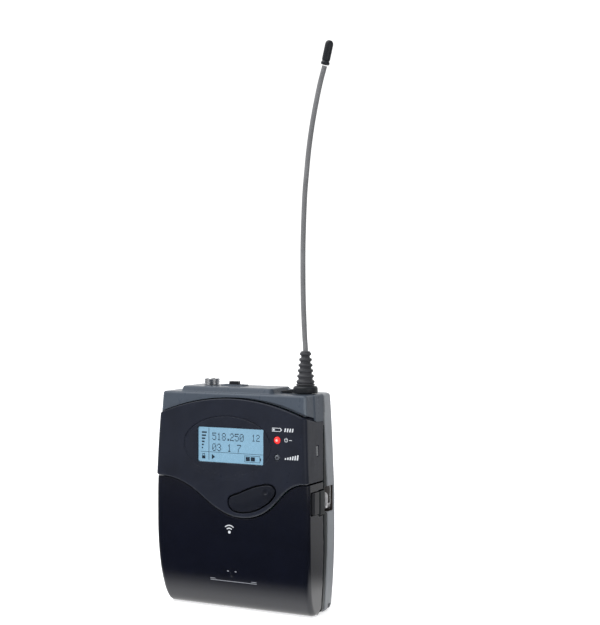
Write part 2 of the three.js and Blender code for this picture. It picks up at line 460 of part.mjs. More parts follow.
SCREWS.forEach(([x, z], i) => {
  let screw = rodY(1.85, x, 10.35, 11.55, z, 18).add(rodY(0.95, x, z < 40 ? 6.7 : 4.4, 10.5, z, 12));
  screw = screw.subtract(box(x - 1.1, x + 1.1, 10.95, 12, z - 0.25, z + 0.25)).subtract(box(x - 0.25, x + 0.25, 10.95, 12, z - 1.1, z + 1.1));
  add('rear_screw_' + (i + 1), screw, M.steel());
});
for (const [s, name] of [[-1, 'left'], [1, 'right']]) {
  const x0 = Math.min(s * 28.7, s * 29.3), x1 = Math.max(s * 28.7, s * 29.3);
  add('charge_contact_' + name, box(x0, x1, 8.0, 10.2, 0.7, 3.1).add(box(Math.min(s * 26, s * 28.9), Math.max(s * 26, s * 28.9), 8.0, 8.9, 2.5, 3.1)), M.nickel());
}

// ------------------------------------------------------------- belt clip
const clipHalf = (s) => [
  [s * 27.3, CLIP.y, CLIP.z], [s * 29.2, CLIP.y, CLIP.z], [s * 30.7, CLIP.y, CLIP.z - 0.15], [s * 31.2, CLIP.y, CLIP.z - 1.2], [s * 31.2, CLIP.y + 0.05, CLIP.z - 3.2],
  [s * 31.05, CLIP.y + 0.5, CLIP.z - 4.4], [s * 30.25, 4.9, CLIP.z - 4.75], [s * 29.9, 6.6, CLIP.z - 4.8], [s * 29.9, 10.2, CLIP.z - 4.9], [s * 29.9, 11.9, CLIP.z - 5.0],
  [s * 29.9, 13.7, CLIP.z - 5.15], [s * 29.7, 15.1, CLIP.z - 5.6], [s * 28.8, 16.4, CLIP.z - 6.7], [s * 27.1, 17.3, CLIP.z - 8.7], [s * (CLIP.legX + 0.4), CLIP.legY, CLIP.z - 11.9], [s * CLIP.legX, CLIP.legY, 28], [s * (CLIP.legX - 0.3), CLIP.legY - 0.4, 18],
  [s * (CLIP.legX - 1.4), CLIP.legY - 0.9, 11.5], [s * (CLIP.legX - 4.6), CLIP.legY - 0.4, 7.6], [s * (CLIP.legX - 9.5), CLIP.legY + 0.5, CLIP.foot],
];
const clipPoints = [...clipHalf(-1), ...clipHalf(1).reverse()];
add('belt_clip', wire(clipPoints, CLIP.wire, 6, 96), M.chrome());

// ------------------------------------------------------------- battery bay
const KEY = { x: -22.6, z: 39.6 };
const ROCKER = { x: -16.3, y: -7.2, z: 39.0 };
let tray = box(-27.9, 27.9, 7.0, 7.9, 4.4, 35.6)
  .add(box(-27.9, -27.0, -5.4, 7.5, 5.2, 35.6)).add(box(27.0, 27.9, -5.4, 7.5, 5.2, 35.6))
  .add(box(-26.7, 26.7, -7.4, 7.5, 34.6, 35.6)).add(box(-25.9, -12.2, -8.4, -7, 34.7, 35.6));
// the deck that carries the two keys, left of the tongue
const deckTop = spread(-25.9, -12.2, 6).map((x) => [x, waveZ(x) - 1.4]);
tray = tray.add(slabXZ([[-25.9, 34.7], [-12.2, 34.7], ...deckTop.reverse()], -8.4, -7.4));
for (const [y, z] of [[CELL_UPPER.y, CELL_UPPER.z], [CELL_LOWER.y, CELL_LOWER.z]]) tray = tray.subtract(rodX(CELL.r + 0.35, -26.95, 26.95, y, z, 24));
tray = tray.subtract(rodY(2.6, KEY.x, -12, -5, KEY.z, 20)).subtract(box(ROCKER.x - 2.6, ROCKER.x + 2.6, -12, -5, ROCKER.z - 3.1, ROCKER.z + 3.1));
for (const [x, z] of SCREWS.slice(0, 2)) tray = tray.subtract(rodY(1.25, x, 6, 9, z, 16));
add('battery_tray', tray, M.plastic());
const key = rodY(2.3, KEY.x, -9.7, -7.0, KEY.z, 20).add(rodY(2.9, KEY.x, -7.1, -6.6, KEY.z, 20));
add('set_key', key, finish(0x3a3d42, 0.6));
// rocker: barrel face, pivoting on its own middle
let rocker = slabYZ([[-9.9, -2.8], [-9.4, 0], [-9.9, 2.8], [-7.4, 2.8], [-6.8, 1.5], [-6.8, -1.5], [-7.4, -2.8]].map(([y, z]) => [y, z + ROCKER.z]).reverse(), ROCKER.x - 2.3, ROCKER.x + 2.3);
rocker = rocker.add(rodX(0.55, ROCKER.x - 2.3, ROCKER.x + 2.3, ROCKER.y, ROCKER.z, 12));
add('rocker_key', rocker, finish(0x3a3d42, 0.6));
add('key_board', box(-26.1, -12.6, -5.7, -4.8, 35.9, 43.6).add(box(KEY.x - 1.4, KEY.x + 1.4, -6.0, -5.6, KEY.z - 1.4, KEY.z + 1.4)).add(box(ROCKER.x - 1.4, ROCKER.x + 1.4, -6.1, -5.6, ROCKER.z + 1.3, ROCKER.z + 3)).add(box(ROCKER.x - 1.4, ROCKER.x + 1.4, -6.1, -5.6, ROCKER.z - 3, ROCKER.z - 1.3)), M.board());

const cell = (c, dir) => {
  const L = CELL.length / 2;
  const profile = [[0, -L], [CELL.r - 0.5, -L], [CELL.r, -L + 0.5], [CELL.r, L - 0.6], [CELL.r - 0.5, L], [2.75, L], [2.75, L + CELL.nub - 0.2], [2.5, L + CELL.nub], [0, L + CELL.nub]];
  const g = lathe(profile, 28);
  g.rotateZ(dir > 0 ? -Math.PI / 2 : Math.PI / 2);
  g.translate(0, c.y, c.z);
  return solid(g);
};
add('cell_upper', cell(CELL_UPPER, 1), finish(0x31363c, 0.35, 0.3));
add('cell_lower', cell(CELL_LOWER, -1), finish(0x31363c, 0.35, 0.3));
// negative springs and positive plates at the ends of the bay
const coil = (c, dir) => {
  const pts = [];
  const turns = 2.5, n = 30;
  for (let i = 0; i <= n; i++) {
    const t = i / n, a = t * turns * Math.PI * 2, r = 3.4 - 1.3 * t;
    pts.push([-dir * (26.55 - 1.2 * t), c.y + r * Math.cos(a), c.z + r * Math.sin(a)]);
  }
  return wire(pts, 0.25, 5, 34);
};
add('contact_spring_upper', coil(CELL_UPPER, 1), M.nickel());
add('contact_spring_lower', coil(CELL_LOWER, -1), M.nickel());
const plate = (c, dir) => box(Math.min(dir * 26.1, dir * 26.5), Math.max(dir * 26.1, dir * 26.5), c.y - 3.6, c.y + 3.6, c.z - 4, c.z + 4);
add('contact_plate_upper', plate(CELL_UPPER, 1), M.nickel());
add('contact_plate_lower', plate(CELL_LOWER, -1), M.nickel());

// ------------------------------------------------------------- boards inside
const mainBoard = slabXZ([[-25.6, 14], [-21.5, 12.4], [-21.5, 6.5], [21.5, 6.5], [21.5, 12.4], [25.6, 14], [25.6, 36], [21.5, 37], [21.5, 46.6], [27.5, 48], [27.5, 68.5], [20.5, 70.5], [20.5, 76.5], [-20.5, 76.5], [-20.5, 70.5],
  [-27.5, 68.5], [-27.5, 48], [-21.5, 46.6], [-21.5, 37], [-25.6, 36]], 8.6, 9.6);
add('main_board', mainBoard, M.board());
const shield = box(-8, 20, 5.6, 8.3, 48, 66).subtract(box(-7.7, 19.7, 5.9, 9, 48.3, 65.7));
add('rf_shield', shield, M.nickel());

// ------------------------------------------------------------- microphone jack
const collar = [[JACK.bore, 74.5], [JACK.r - 0.15, 74.5], [JACK.r, 74.9], [JACK.r, JACK.top - 0.35], [JACK.r - 0.35, JACK.top], [JACK.bore + 0.3, JACK.top], [JACK.bore, JACK.top - 0.3], [JACK.bore, 74.5]];
add('jack_collar', turnZ(collar.map(([r, z]) => [r, z]), JACK.x, JACK.y, 28), M.chrome());
add('jack_body', box(JACK.x - 4.3, JACK.x + 4.3, JACK.y - 4.4, JACK.y + 4.4, 62.5, 74.2).subtract(rodZ(1.8, JACK.x, JACK.y, 60, 80, 20)), M.plastic());

// ------------------------------------------------------------- mute slider
const mx = MUTE.x, my = MUTE.y;
const knob = box(mx - MUTE.knob / 2, mx + MUTE.knob / 2, my - 1.15, my + 1.15, 80.6, MUTE.top)
  .subtract(box(mx - 1.15, mx - 0.75, my - 2, my + 2, MUTE.top - 0.35, 90))
  .subtract(box(mx - 0.2, mx + 0.2, my - 2, my + 2, MUTE.top - 0.35, 90))
  .subtract(box(mx + 0.75, mx + 1.15, my - 2, my + 2, MUTE.top - 0.35, 90))
  .add(box(mx - 0.8, mx + 0.8, my - 0.6, my + 0.6, 77.2, 80.8));
add('mute_slider', knob, finish(0x1c1e24, 0.5));
add('mute_switch_body', box(mx - 5.0, mx + 5.0, my - 2.7, my + 2.7, 70.5, 77.6).subtract(box(mx - 3.2, mx + 3.2, my - 1.0, my + 1.0, 76.6, 80)), M.plastic());

// ------------------------------------------------------------- antenna
const ax = AERIAL.x, ay = AERIAL.y;
add('antenna_base', turnZ([[0, 74.6], [2.25, 74.6], [2.25, 80.2], [AERIAL.flange - 0.2, 80.2], [AERIAL.flange, 80.5], [AERIAL.flange, AERIAL.flangeTop - 0.6], [AERIAL.flange - 0.5, AERIAL.flangeTop], [0, AERIAL.flangeTop]], ax, ay, 28), M.plastic());
const ribs = [];
const ribZ = [84.3, 86.3, 88.3, 90.3, 92.3, 94.4];
ribs.push([1.35, 83.1], [3.45, 83.1]);
ribZ.forEach((z, i) => {
  const t = i / 5, R = 3.35 - 1.2 * t, core = 2.75 - 1.35 * t;
  ribs.push([R, z - 0.5], [R, z + 0.35]);
  if (i < 5) ribs.push([core, z + 0.75], [core - 0.1, z + 1.15]);
});
ribs.push([1.8, AERIAL.bootTop], [1.35, AERIAL.bootTop], [1.35, 83.1]);
add('antenna_boot', turnZ(ribs, ax, ay, 14), M.rubber());
const whipPoints = WHIP.map(([dx, z], i) => [ax + dx, ay, i === 0 ? 83.15 : z]);
add('antenna_whip', wire(whipPoints, AERIAL.whip, 8, 26), finish(0x2b2d31, 0.55));
const capBase = new THREE.Vector3(ax + WHIP[WHIP.length - 1][0], ay, WHIP[WHIP.length - 1][1]);
const capTip = new THREE.Vector3(ax + WHIP_TIP[0], ay, WHIP_TIP[1]);
const capDir = capTip.clone().sub(capBase);
const capLength = capDir.length();
const capGeometry = lathe([[0, 0.35], [1.15, 0.35], [1.6, 0.7], [1.6, 1.4], [AERIAL.cap - 0.1, 1.7], [AERIAL.cap, 3], [AERIAL.cap, capLength - 1.2], [AERIAL.cap * 0.85, capLength - 0.4], [AERIAL.cap * 0.5, capLength], [0, capLength + 0.15]], 20);
capGeometry.applyQuaternion(new THREE.Quaternion().setFromUnitVectors(new THREE.Vector3(0, 1, 0), capDir.clone().normalize()));
capGeometry.translate(capBase.x, capBase.y, capBase.z);
add('antenna_cap', solid(capGeometry), M.rubber());
const nut = new THREE.CylinderGeometry(4.1, 4.1, 1.7, 6);
nut.rotateX(Math.PI / 2);
nut.translate(ax, ay, 77.1);
add('antenna_nut', solid(nut).subtract(rodZ(2.55, ax, ay, 70, 90, 20)), M.nickel());
add('antenna_contact', box(ax - 1, ax + 1, ay - 0.5, ay - 0.1, 64.6, 74.2).add(box(ax - 1, ax + 1, ay - 0.5, 8.3, 64.6, 65.0)), M.nickel());

export default part;
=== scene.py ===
import math

import bpy
import numpy as np
from mathutils import Matrix, Vector


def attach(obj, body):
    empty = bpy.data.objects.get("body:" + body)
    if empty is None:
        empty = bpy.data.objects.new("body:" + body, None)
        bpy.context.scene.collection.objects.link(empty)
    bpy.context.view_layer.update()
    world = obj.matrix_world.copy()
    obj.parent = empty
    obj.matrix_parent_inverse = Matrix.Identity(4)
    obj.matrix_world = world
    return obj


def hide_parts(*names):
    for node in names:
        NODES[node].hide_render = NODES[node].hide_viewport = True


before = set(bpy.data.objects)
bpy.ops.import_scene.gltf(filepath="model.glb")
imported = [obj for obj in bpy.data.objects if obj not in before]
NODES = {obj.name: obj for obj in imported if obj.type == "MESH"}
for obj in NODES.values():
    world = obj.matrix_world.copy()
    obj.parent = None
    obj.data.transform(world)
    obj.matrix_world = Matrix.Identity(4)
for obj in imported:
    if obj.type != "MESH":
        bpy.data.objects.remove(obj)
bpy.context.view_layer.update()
SCENE = bpy.context.scene

# ------------------------------------------------------------------ dimensions (mm, as in the CAD)
CASE_TOP, PLATEAU_TOP = 79.9, 81.8
PLATEAU = (-23.2, 15.8, -8.8, 7.4)
SEAM_BACK = 3.75
HINGE_Y, HINGE_Z, HINGE_R, PIN_R = -0.85, 1.85, 1.75, 0.75
EAR_X, EAR_HALF, EAR_MIDDLE = 19.8, 2.0, 4.0
CATCH_Y0, CATCH_Y1, CATCH_Z0, CATCH_Z1 = -8.9, -4.35, 37.4, 45.3
BOSS_Y0, BOSS_Z0, BOSS_Z1 = -3.7, 36.6, 45.3
WINDOW = (-13.6, 13.9, 54.6, 67.3)
DISH = (-0.9, 61.0, 18.2, 10.6, 0.6)  # footprint half sizes and depth
LEDS = ((19.6, 63.9, 1.25), (19.8, 57.8, 1.05))
JACK = (-15.1, 0.4, 2.9, 1.8, 84.4)
MUTE = (-5.2, 0.4)
AX, AY = 24.7, 0.0
CLIP_Y, CLIP_Z = 3.3, 43.4
POCKET_Z0, POCKET_Z1 = 37.0, 46.2
SCREWS = ((-26.4, 8.6), (26.4, 8.6), (-24.6, 73.0), (24.6, 73.0))
CELL_R, CELL_L, CELL_NUB = 7.1, 49.3, 1.1
CELLS = {"upper": (-3.2, 26.4, 1), "lower": (-0.9, 11.6, -1)}


class Curve:
    """A smooth curve through a table of values, with its slope."""

    def __init__(self, pts, step=0.05):
        x = np.array([p[0] for p in pts], float)
        y = np.array([p[1] for p in pts], float)
        h = np.diff(x)
        d = np.diff(y) / h
        m = np.zeros_like(x)
        m[0], m[-1] = d[0], d[-1]
        for i in range(1, len(x) - 1):
            if d[i - 1] * d[i] > 0:
                a, b = 2 * h[i] + h[i - 1], h[i] + 2 * h[i - 1]
                m[i] = (a + b) / (a / d[i - 1] + b / d[i])
        q = np.arange(x[0], x[-1] + step / 2, step)
        i = np.clip(np.searchsorted(x, q, side="right") - 1, 0, len(h) - 1)
        t = (q - x[i]) / h[i]
        self.x = q
        self.y = (2 * t**3 - 3 * t**2 + 1) * y[i] + (t**3 - 2 * t**2 + t) * h[i] * m[i] + (3 * t**2 - 2 * t**3) * y[i + 1] + (t**3 - t**2) * h[i] * m[i + 1]
        self.d = np.gradient(self.y, self.x)

    def __call__(self, q):
        return np.interp(q, self.x, self.y)

    def unit(self, q):
        s = np.interp(q, self.x, self.d)
        return 1 / np.sqrt(1 + s * s)


HALF_WIDTH = Curve([[-3, 30.3], [0, 30.5], [3, 30.75], [7, 31.05], [11, 31.35], [19, 31.75], [27.5, 32], [42, 32], [47, 31.9], [51, 31.7], [61, 31.25], [71, 30.75], [76, 30.5], [80, 30.3], [84, 30.1]])
PANEL = Curve([[28, 12.7], [30, 12.75], [40, 13.0], [50, 13.0], [56, 12.9], [64, 12.65], [71, 12.3], [76, 12.0], [80, 11.7], [84, 11.4]])
TOP = Curve([[56, 11.9], [60, 11.7], [71, 11.25], [76, 10.95], [80, 10.65], [84, 10.3]])
COVER = Curve([[-1, 0.5], [0, 3.0], [0.15, 3.9], [0.5, 4.8], [1.2, 5.8], [2.2, 6.7], [3.6, 7.6], [5.4, 8.5], [7.6, 9.25], [10, 9.9], [14, 10.75], [19, 11.4], [25, 11.85], [32, 12.1], [40, 12.15], [52, 12.05]])
BACK = Curve([[-2, 9.6], [0, 9.9], [0.4, 10.7], [1.2, 11.4], [2.6, 11.9], [10, 12], [70, 12], [76, 11.8], [80, 11.6], [84, 11.4]])
WAVE = Curve([[-40, 48.4], [-36, 48.4], [-30.9, 48.35], [-25.9, 48.0], [-21.4, 47.0], [-17.5, 45.4], [-14.2, 43.5], [-10.9, 41.2], [-7.7, 39.0], [-4.4, 37.15], [-1.2, 35.8], [1.4, 35.15], [4.1, 34.85],
              [7.3, 34.95], [10.5, 35.65], [13.6, 36.9], [16.8, 39.1], [19.4, 41.6], [22, 44.4], [24.5, 46.5], [27.1, 47.8], [29.6, 48.3], [36, 48.4], [40, 48.4]])
SEAM = Curve([[-4, 1.2], [0, 1.15], [9, 1.0], [15, 0.75], [24, 0.5], [35, 0.1], [45, 0.25], [52, 0.6], [60, 1.3], [68, 2.2], [76, 3.4], [84, 3.9], [90, 4.0]])
BUTTON = [[-0.15, 41.0], [0.6, 42.4], [4.1, 43.8], [6.8, 45.0], [9.5, 46.1], [12.1, 46.9], [14.6, 47.45], [16.3, 47.6], [17.7, 47.25], [18.6, 46.4], [18.9, 45.3], [18.6, 44.2], [17.9, 43.2],
          [16.6, 41.8], [14.6, 40.3], [12.0, 38.8], [9.4, 37.85], [6.7, 37.3], [4.1, 37.2], [1.9, 37.6], [0.6, 38.5], [-0.05, 39.6]]


def arch(x):
    return np.maximum(71.5, 78.1 - 0.0067 * x * x)


def arch_dist(x, y, z):
    """Signed distance above the line between display panel and top housing; the line drops a little along the sides."""
    drop = 0.2 * np.clip(y + 11.2, 0, 9) * smooth(29.4, 30.3, np.abs(x))
    return (z - arch(x) + drop) / np.sqrt(1 + (0.0134 * np.clip(x, -31.4, 31.4)) ** 2)


def wave_dist(x, z):
    return (z - WAVE(x)) * WAVE.unit(x)


# ------------------------------------------------------------------ distance fields
def rmax(a, b, r):
    return np.minimum(-r, np.maximum(a, b)) + np.hypot(np.maximum(a + r, 0), np.maximum(b + r, 0))


def rmin(a, b, r):
    return np.maximum(r, np.minimum(a, b)) - np.hypot(np.maximum(r - a, 0), np.maximum(r - b, 0))


def smooth(a, b, v):
    t = np.clip((v - a) / (b - a), 0, 1)
    return t * t * (3 - 2 * t)


def rbox(x, y, z, x0, x1, y0, y1, z0, z1, r=0.15):
    a = np.abs(x - (x0 + x1) / 2) - (x1 - x0) / 2 + r
    b = np.abs(y - (y0 + y1) / 2) - (y1 - y0) / 2 + r
    c = np.abs(z - (z0 + z1) / 2) - (z1 - z0) / 2 + r
    out = np.sqrt(np.maximum(a, 0) ** 2 + np.maximum(b, 0) ** 2 + np.maximum(c, 0) ** 2)
    return out + np.minimum(np.maximum(np.maximum(a, b), c), 0) - r


def rect(u, v, u0, u1, v0, v1, r):
    a = np.abs(u - (u0 + u1) / 2) - (u1 - u0) / 2 + r
    b = np.abs(v - (v0 + v1) / 2) - (v1 - v0) / 2 + r
    return np.hypot(np.maximum(a, 0), np.maximum(b, 0)) + np.minimum(np.maximum(a, b), 0) - r


def span(v, a, b):
    return np.maximum(a - v, v - b)


def rod(u, v, cu, cv, r):
    return np.hypot(u - cu, v - cv) - r


def polygon(u, v, pts):
    """Exact signed distance to a polygon."""
    p = np.array(pts, float)
    u, v = np.broadcast_arrays(u, v)
    best = np.full(u.shape, 1e9)
    inside = np.zeros(u.shape, bool)
    for i in range(len(p)):
        (ax, ay), (bx, by) = p[i - 1], p[i]
        ex, ey = bx - ax, by - ay
        t = np.clip(((u - ax) * ex + (v - ay) * ey) / (ex * ex + ey * ey), 0, 1)
        best = np.minimum(best, (u - ax - t * ex) ** 2 + (v - ay - t * ey) ** 2)
        crosses = ((ay > v) != (by > v)) & (u < ex * (v - ay) / (ey if ey else 1e-9) + ax)
        inside ^= crosses
    return np.where(inside, -1, 1) * np.sqrt(best)


class Plane2:
    """A distance in two directions, kept on a fine grid and read between its points."""

    def __init__(self, fn, u0, u1, v0, v1, h=0.08):
        self.u0, self.v0, self.h = u0, v0, h
        u, v = np.arange(u0, u1 + h, h), np.arange(v0, v1 + h, h)
        self.g = fn(u[:, None], v[None, :])
        self.n = self.g.shape

    def __call__(self, u, v):
        a = np.clip((u - self.u0) / self.h, 0, self.n[0] - 1.001)
        b = np.clip((v - self.v0) / self.h, 0, self.n[1] - 1.001)
        i, j = a.astype(int), b.astype(int)
        s, t = a - i, b - j
        g = self.g
        return (g[i, j] * (1 - s) + g[i + 1, j] * s) * (1 - t) + (g[i, j + 1] * (1 - s) + g[i + 1, j + 1] * s) * t


def closed_spline(pts, n):
    """Points on a smooth closed curve through pts."""
    p = np.array(pts, float)
    out = []
    k = len(p)
    for i in range(k):
        p0, p1, p2, p3 = p[i - 1], p[i], p[(i + 1) % k], p[(i + 2) % k]
        for j in range(n):
            t = j / n
            out.append(0.5 * (2 * p1 + (p2 - p0) * t + (2 * p0 - 5 * p1 + 4 * p2 - p3) * t * t + (3 * p1 - p0 - 3 * p2 + p3) * t**3))
    return np.array(out)


BUTTON_LINE = Plane2(lambda u, v: polygon(u, v, closed_spline(BUTTON, 4)), -3, 22, 34, 51, 0.06)


# ------------------------------------------------------------------ meshes from distance fields
def nets(f, lo, hi, h):
    ax = [np.arange(lo[i] - 2 * h, hi[i] + 2.5 * h, h) for i in range(3)]
    g = f(ax[0][:, None, None], ax[1][None, :, None], ax[2][None, None, :])
    V = np.ascontiguousarray(np.broadcast_to(g, tuple(len(a) for a in ax)), dtype=np.float32)
    S = V < 0
    st = (V.shape[1] * V.shape[2], V.shape[2], 1)
    quads, pts = [], []
    for a in range(3):
        b, c = (a + 1) % 3, (a + 2) % 3
        s0, s1 = [slice(None)] * 3, [slice(None)] * 3
        s0[a], s1[a] = slice(0, -1), slice(1, None)
        A, B = S[tuple(s0)], S[tuple(s1)]
        idx = np.nonzero(A != B)
        v0, v1 = V[tuple(s0)][idx], V[tuple(s1)][idx]
        p = np.stack([ax[i][idx[i]] for i in range(3)], 1)
        p[:, a] += v0 / (v0 - v1) * h
        lin = idx[0] * st[0] + idx[1] * st[1] + idx[2]
        q = np.stack([lin - st[b] - st[c], lin - st[c], lin, lin - st[b]], 1)
        q = np.where(A[idx][:, None], q, q[:, ::-1])
        quads.append(q)
        pts.append(np.repeat(p, 4, axis=0))
    q = np.concatenate(quads)
    p = np.concatenate(pts)
    _, inv = np.unique(q.ravel(), return_inverse=True)
    inv = inv.ravel()
    n = np.bincount(inv)
    v = np.stack([np.bincount(inv, weights=p[:, i]) / n for i in range(3)], 1)
    return v, inv.reshape(-1, 4)


def gradient(f, p, e=0.02):
    x, y, z = p.T
    return np.stack([f(x + e, y, z) - f(x - e, y, z), f(x, y + e, z) - f(x, y - e, z), f(x, y, z + e) - f(x, y, z - e)], 1) / (2 * e)


def settle(f, p, h, steps):
    for _ in range(steps):
        g = gradient(f, p)
        s = np.clip(f(*p.T) / np.maximum((g * g).sum(1), 0.1), -0.5 * h, 0.5 * h)
        p = p - g * s[:, None]
    return p


def make_mesh(name, verts, faces, scale=0.001):
    """faces: an (n, k) array, or a list of lists."""
    me = bpy.data.meshes.new(name)
    v = np.asarray(verts, float) * scale
    if isinstance(faces, np.ndarray):
        k = faces.shape[1]
        starts = np.arange(0, len(faces) * k, k)
        loops = faces.ravel()
    else:
        lens = np.array([len(f) for f in faces])
        starts = np.concatenate([[0], np.cumsum(lens)[:-1]])
        loops = np.concatenate([np.asarray(f) for f in faces])
    me.vertices.add(len(v))
    me.loops.add(len(loops))
    me.polygons.add(len(starts))
    me.vertices.foreach_set("co", v.astype(np.float32).ravel())
    me.loops.foreach_set("vertex_index", loops.astype(np.int32))
    me.polygons.foreach_set("loop_start", starts.astype(np.int32))
    me.update(calc_edges=True)
    me.validate()
    return me


def field_mesh(name, f, lo, hi, h, thin=0.3):
    """A closed mesh of f = 0, thinned where it is flat, shaded with the field's own normals."""
    v, q = nets(f, lo, hi, h)
    v = settle(f, v, h, 2)
    me = make_mesh(name, v, q)
    if thin < 1:
        o = bpy.data.objects.new(name + "_work", me)
        SCENE.collection.objects.link(o)
        m = o.modifiers.new("thin", "DECIMATE")
        m.ratio = thin
        dg = bpy.context.evaluated_depsgraph_get()
        made = bpy.data.meshes.new_from_object(o.evaluated_get(dg))
        bpy.data.objects.remove(o)
        bpy.data.meshes.remove(me)
        made.name = name
        me = made
        co = np.zeros(len(me.vertices) * 3, np.float32)
        me.vertices.foreach_get("co", co)
        v = settle(f, co.reshape(-1, 3).astype(float) * 1000, h * 0.5, 1)
        me.vertices.foreach_set("co", (v * 0.001).astype(np.float32).ravel())
        me.update()
    n = gradient(f, v, 0.03)
    n /= np.maximum(np.linalg.norm(n, axis=1), 1e-6)[:, None]
    me.normals_split_custom_set_from_vertices(n.tolist())
    return me


# ------------------------------------------------------------------ meshes made directly
def lathe(profile, n=64, origin=(0, 0, 0), axis=(0, 0, 1), sharp=38, name="turned"):
    """profile: (radius, height) pairs from axis to axis, or a closed ring."""
    prof = list(profile)
    axial = prof[0][0] < 1e-6
    d = Vector(axis).normalized()
    u = d.orthogonal().normalized()
    w = d.cross(u)
    u, w, d, o = (np.array(t) for t in (u, w, d, Vector(origin)))
    verts, faces, rings = [], [], []
    for r, t in prof:
        if r < 1e-6:
            rings.append([len(verts)])
            verts.append(o + d * t)
        else:
            base = len(verts)
            for i in range(n):
                a = 2 * math.pi * i / n
                verts.append(o + d * t + (u * math.cos(a) + w * math.sin(a)) * r)
            rings.append(list(range(base, base + n)))
    pairs = list(zip(rings, rings[1:])) + ([] if axial else [(rings[-1], rings[0])])
    for a, b in pairs:
        for i in range(n):
            j = (i + 1) % n
            if len(a) == 1 and len(b) == 1:
                continue
            if len(a) == 1:
                faces.append([a[0], b[j], b[i]])
            elif len(b) == 1:
                faces.append([a[i], a[j], b[0]])
            else:
                faces.append([a[i], a[j], b[j], b[i]])
    me = make_mesh(name, verts, faces)
    face_out(me)
    me.set_sharp_from_angle(angle=math.radians(sharp))
    return me


def face_out(me):
    """Turns a closed mesh's faces outwards."""
    import bmesh
    bm = bmesh.new()
    bm.from_mesh(me)
    bmesh.ops.recalc_face_normals(bm, faces=bm.faces)
    if bm.calc_volume(signed=True) < 0:
        bmesh.ops.reverse_faces(bm, faces=bm.faces)
    bm.to_mesh(me)
    bm.free()


def path_points(pts, n):
    """Points on a smooth open curve through pts."""
    p = np.array(pts, float)
    p = np.vstack([2 * p[0] - p[1], p, 2 * p[-1] - p[-2]])
    out = []
    for i in range(1, len(p) - 2):
        p0, p1, p2, p3 = p[i - 1:i + 3]
        for j in range(n):
            t = j / n
            out.append(0.5 * (2 * p1 + (p2 - p0) * t + (2 * p0 - 5 * p1 + 4 * p2 - p3) * t * t + (3 * p1 - p0 - 3 * p2 + p3) * t**3))
    out.append(p[-2])
    return np.array(out)


def tube(pts, r, sides=16, name="tube", round_end=True):
    """A round wire along pts; r may be one value a point."""
    p = np.array(pts, float)
    rad = np.full(len(p), float(r)) if np.isscalar(r) else np.array(r, float)
    t = np.gradient(p, axis=0)
    t /= np.linalg.norm(t, axis=1)[:, None]
    if round_end:  # domed ends
        k = [(0.0, 0.0), (0.35, 0.06), (0.7, 0.3), (0.93, 0.65), (1.0, 1.0)]
        head = [(p[0] + t[0] * rad[0] * b, rad[0] * a) for a, b in k[1:-1]]
        tail = [(p[-1] - t[-1] * rad[-1] * b, rad[-1] * a) for a, b in k[1:-1]][::-1]
        inner = [(q, s) for q, s in zip(p, rad)]
        inner[0] = (p[0] + t[0] * rad[0], rad[0])
        inner[-1] = (p[-1] - t[-1] * rad[-1], rad[-1])
        rows = head + inner + tail
        tt = [t[0]] * len(head) + list(t) + [t[-1]] * len(tail)
    else:
        rows, tt = list(zip(p, rad)), list(t)
    verts, faces = [], []
    u = np.array(Vector(tt[0]).orthogonal().normalized())
    for (q, s), d in zip(rows, tt):
        u = u - d * (u @ d)
        u /= np.linalg.norm(u)
        w = np.cross(d, u)
        for i in range(sides):
            a = 2 * math.pi * i / sides
            verts.append(q + (u * math.cos(a) + w * math.sin(a)) * s)
    m = len(rows)
    for i in range(m - 1):
        for j in range(sides):
            k = (j + 1) % sides
            faces.append([i * sides + j, i * sides + k, (i + 1) * sides + k, (i + 1) * sides + j])
    a, b = len(verts), len(verts) + 1
    verts += [p[0], p[-1]]
    for j in range(sides):
        k = (j + 1) % sides
        faces.append([a, k, j])
        faces.append([b, (m - 1) * sides + j, (m - 1) * sides + k])
    me = make_mesh(name, verts, faces)
    face_out(me)
    me.set_sharp_from_angle(angle=math.radians(50))
    return me


def slabs(name, boxes, bevel=0.0):
    """Many small blocks in one mesh. Each is 8 corners, or (x0, x1, y0, y1, z0, z1)."""
    verts, faces = [], []
    for b in boxes:
        base = len(verts)
        if len(b) == 6:
            x0, x1, y0, y1, z0, z1 = b
            b = [(x0, y0, z0), (x1, y0, z0), (x1, y1, z0), (x0, y1, z0), (x0, y0, z1), (x1, y0, z1), (x1, y1, z1), (x0, y1, z1)]
        verts += [tuple(p) for p in b]
        for f in ((0, 3, 2, 1), (4, 5, 6, 7), (0, 1, 5, 4), (1, 2, 6, 5), (2, 3, 7, 6), (3, 0, 4, 7)):
            faces.append([base + i for i in f])
    me = make_mesh(name, verts, faces)
    if bevel:
        import bmesh
        bm = bmesh.new()
        bm.from_mesh(me)
        bmesh.ops.bevel(bm, geom=bm.edges[:] + bm.verts[:], offset=bevel * 0.001, segments=2, profile=0.6, affect="EDGES", clamp_overlap=True)
        bm.to_mesh(me)
        bm.free()
    face_out(me)
    me.set_sharp_from_angle(angle=math.radians(35))
    return me


def ring_flat(cx, cz, r0, r1, y0, y1, a0=0.0, a1=360.0, n=24):
    """Blocks of a flat ring or arc in the X-Z plane, for slabs()."""
    out = []
    full = abs(a1 - a0) >= 360
    for i in range(n):
        a, b = (math.radians(a0 + (a1 - a0) * t / n) for t in (i, i + 1))
        if full and i == n - 1:
            b = math.radians(a0 + 360)
        c = [(cx + r * math.cos(t), cz + r * math.sin(t)) for r, t in ((r0, a), (r1, a), (r1, b), (r0, b))]
        out.append([(c[0][0], y0, c[0][1]), (c[1][0], y0, c[1][1]), (c[1][0], y1, c[1][1]), (c[0][0], y1, c[0][1]),
                    (c[3][0], y0, c[3][1]), (c[2][0], y0, c[2][1]), (c[2][0], y1, c[2][1]), (c[3][0], y1, c[3][1])])
    return out


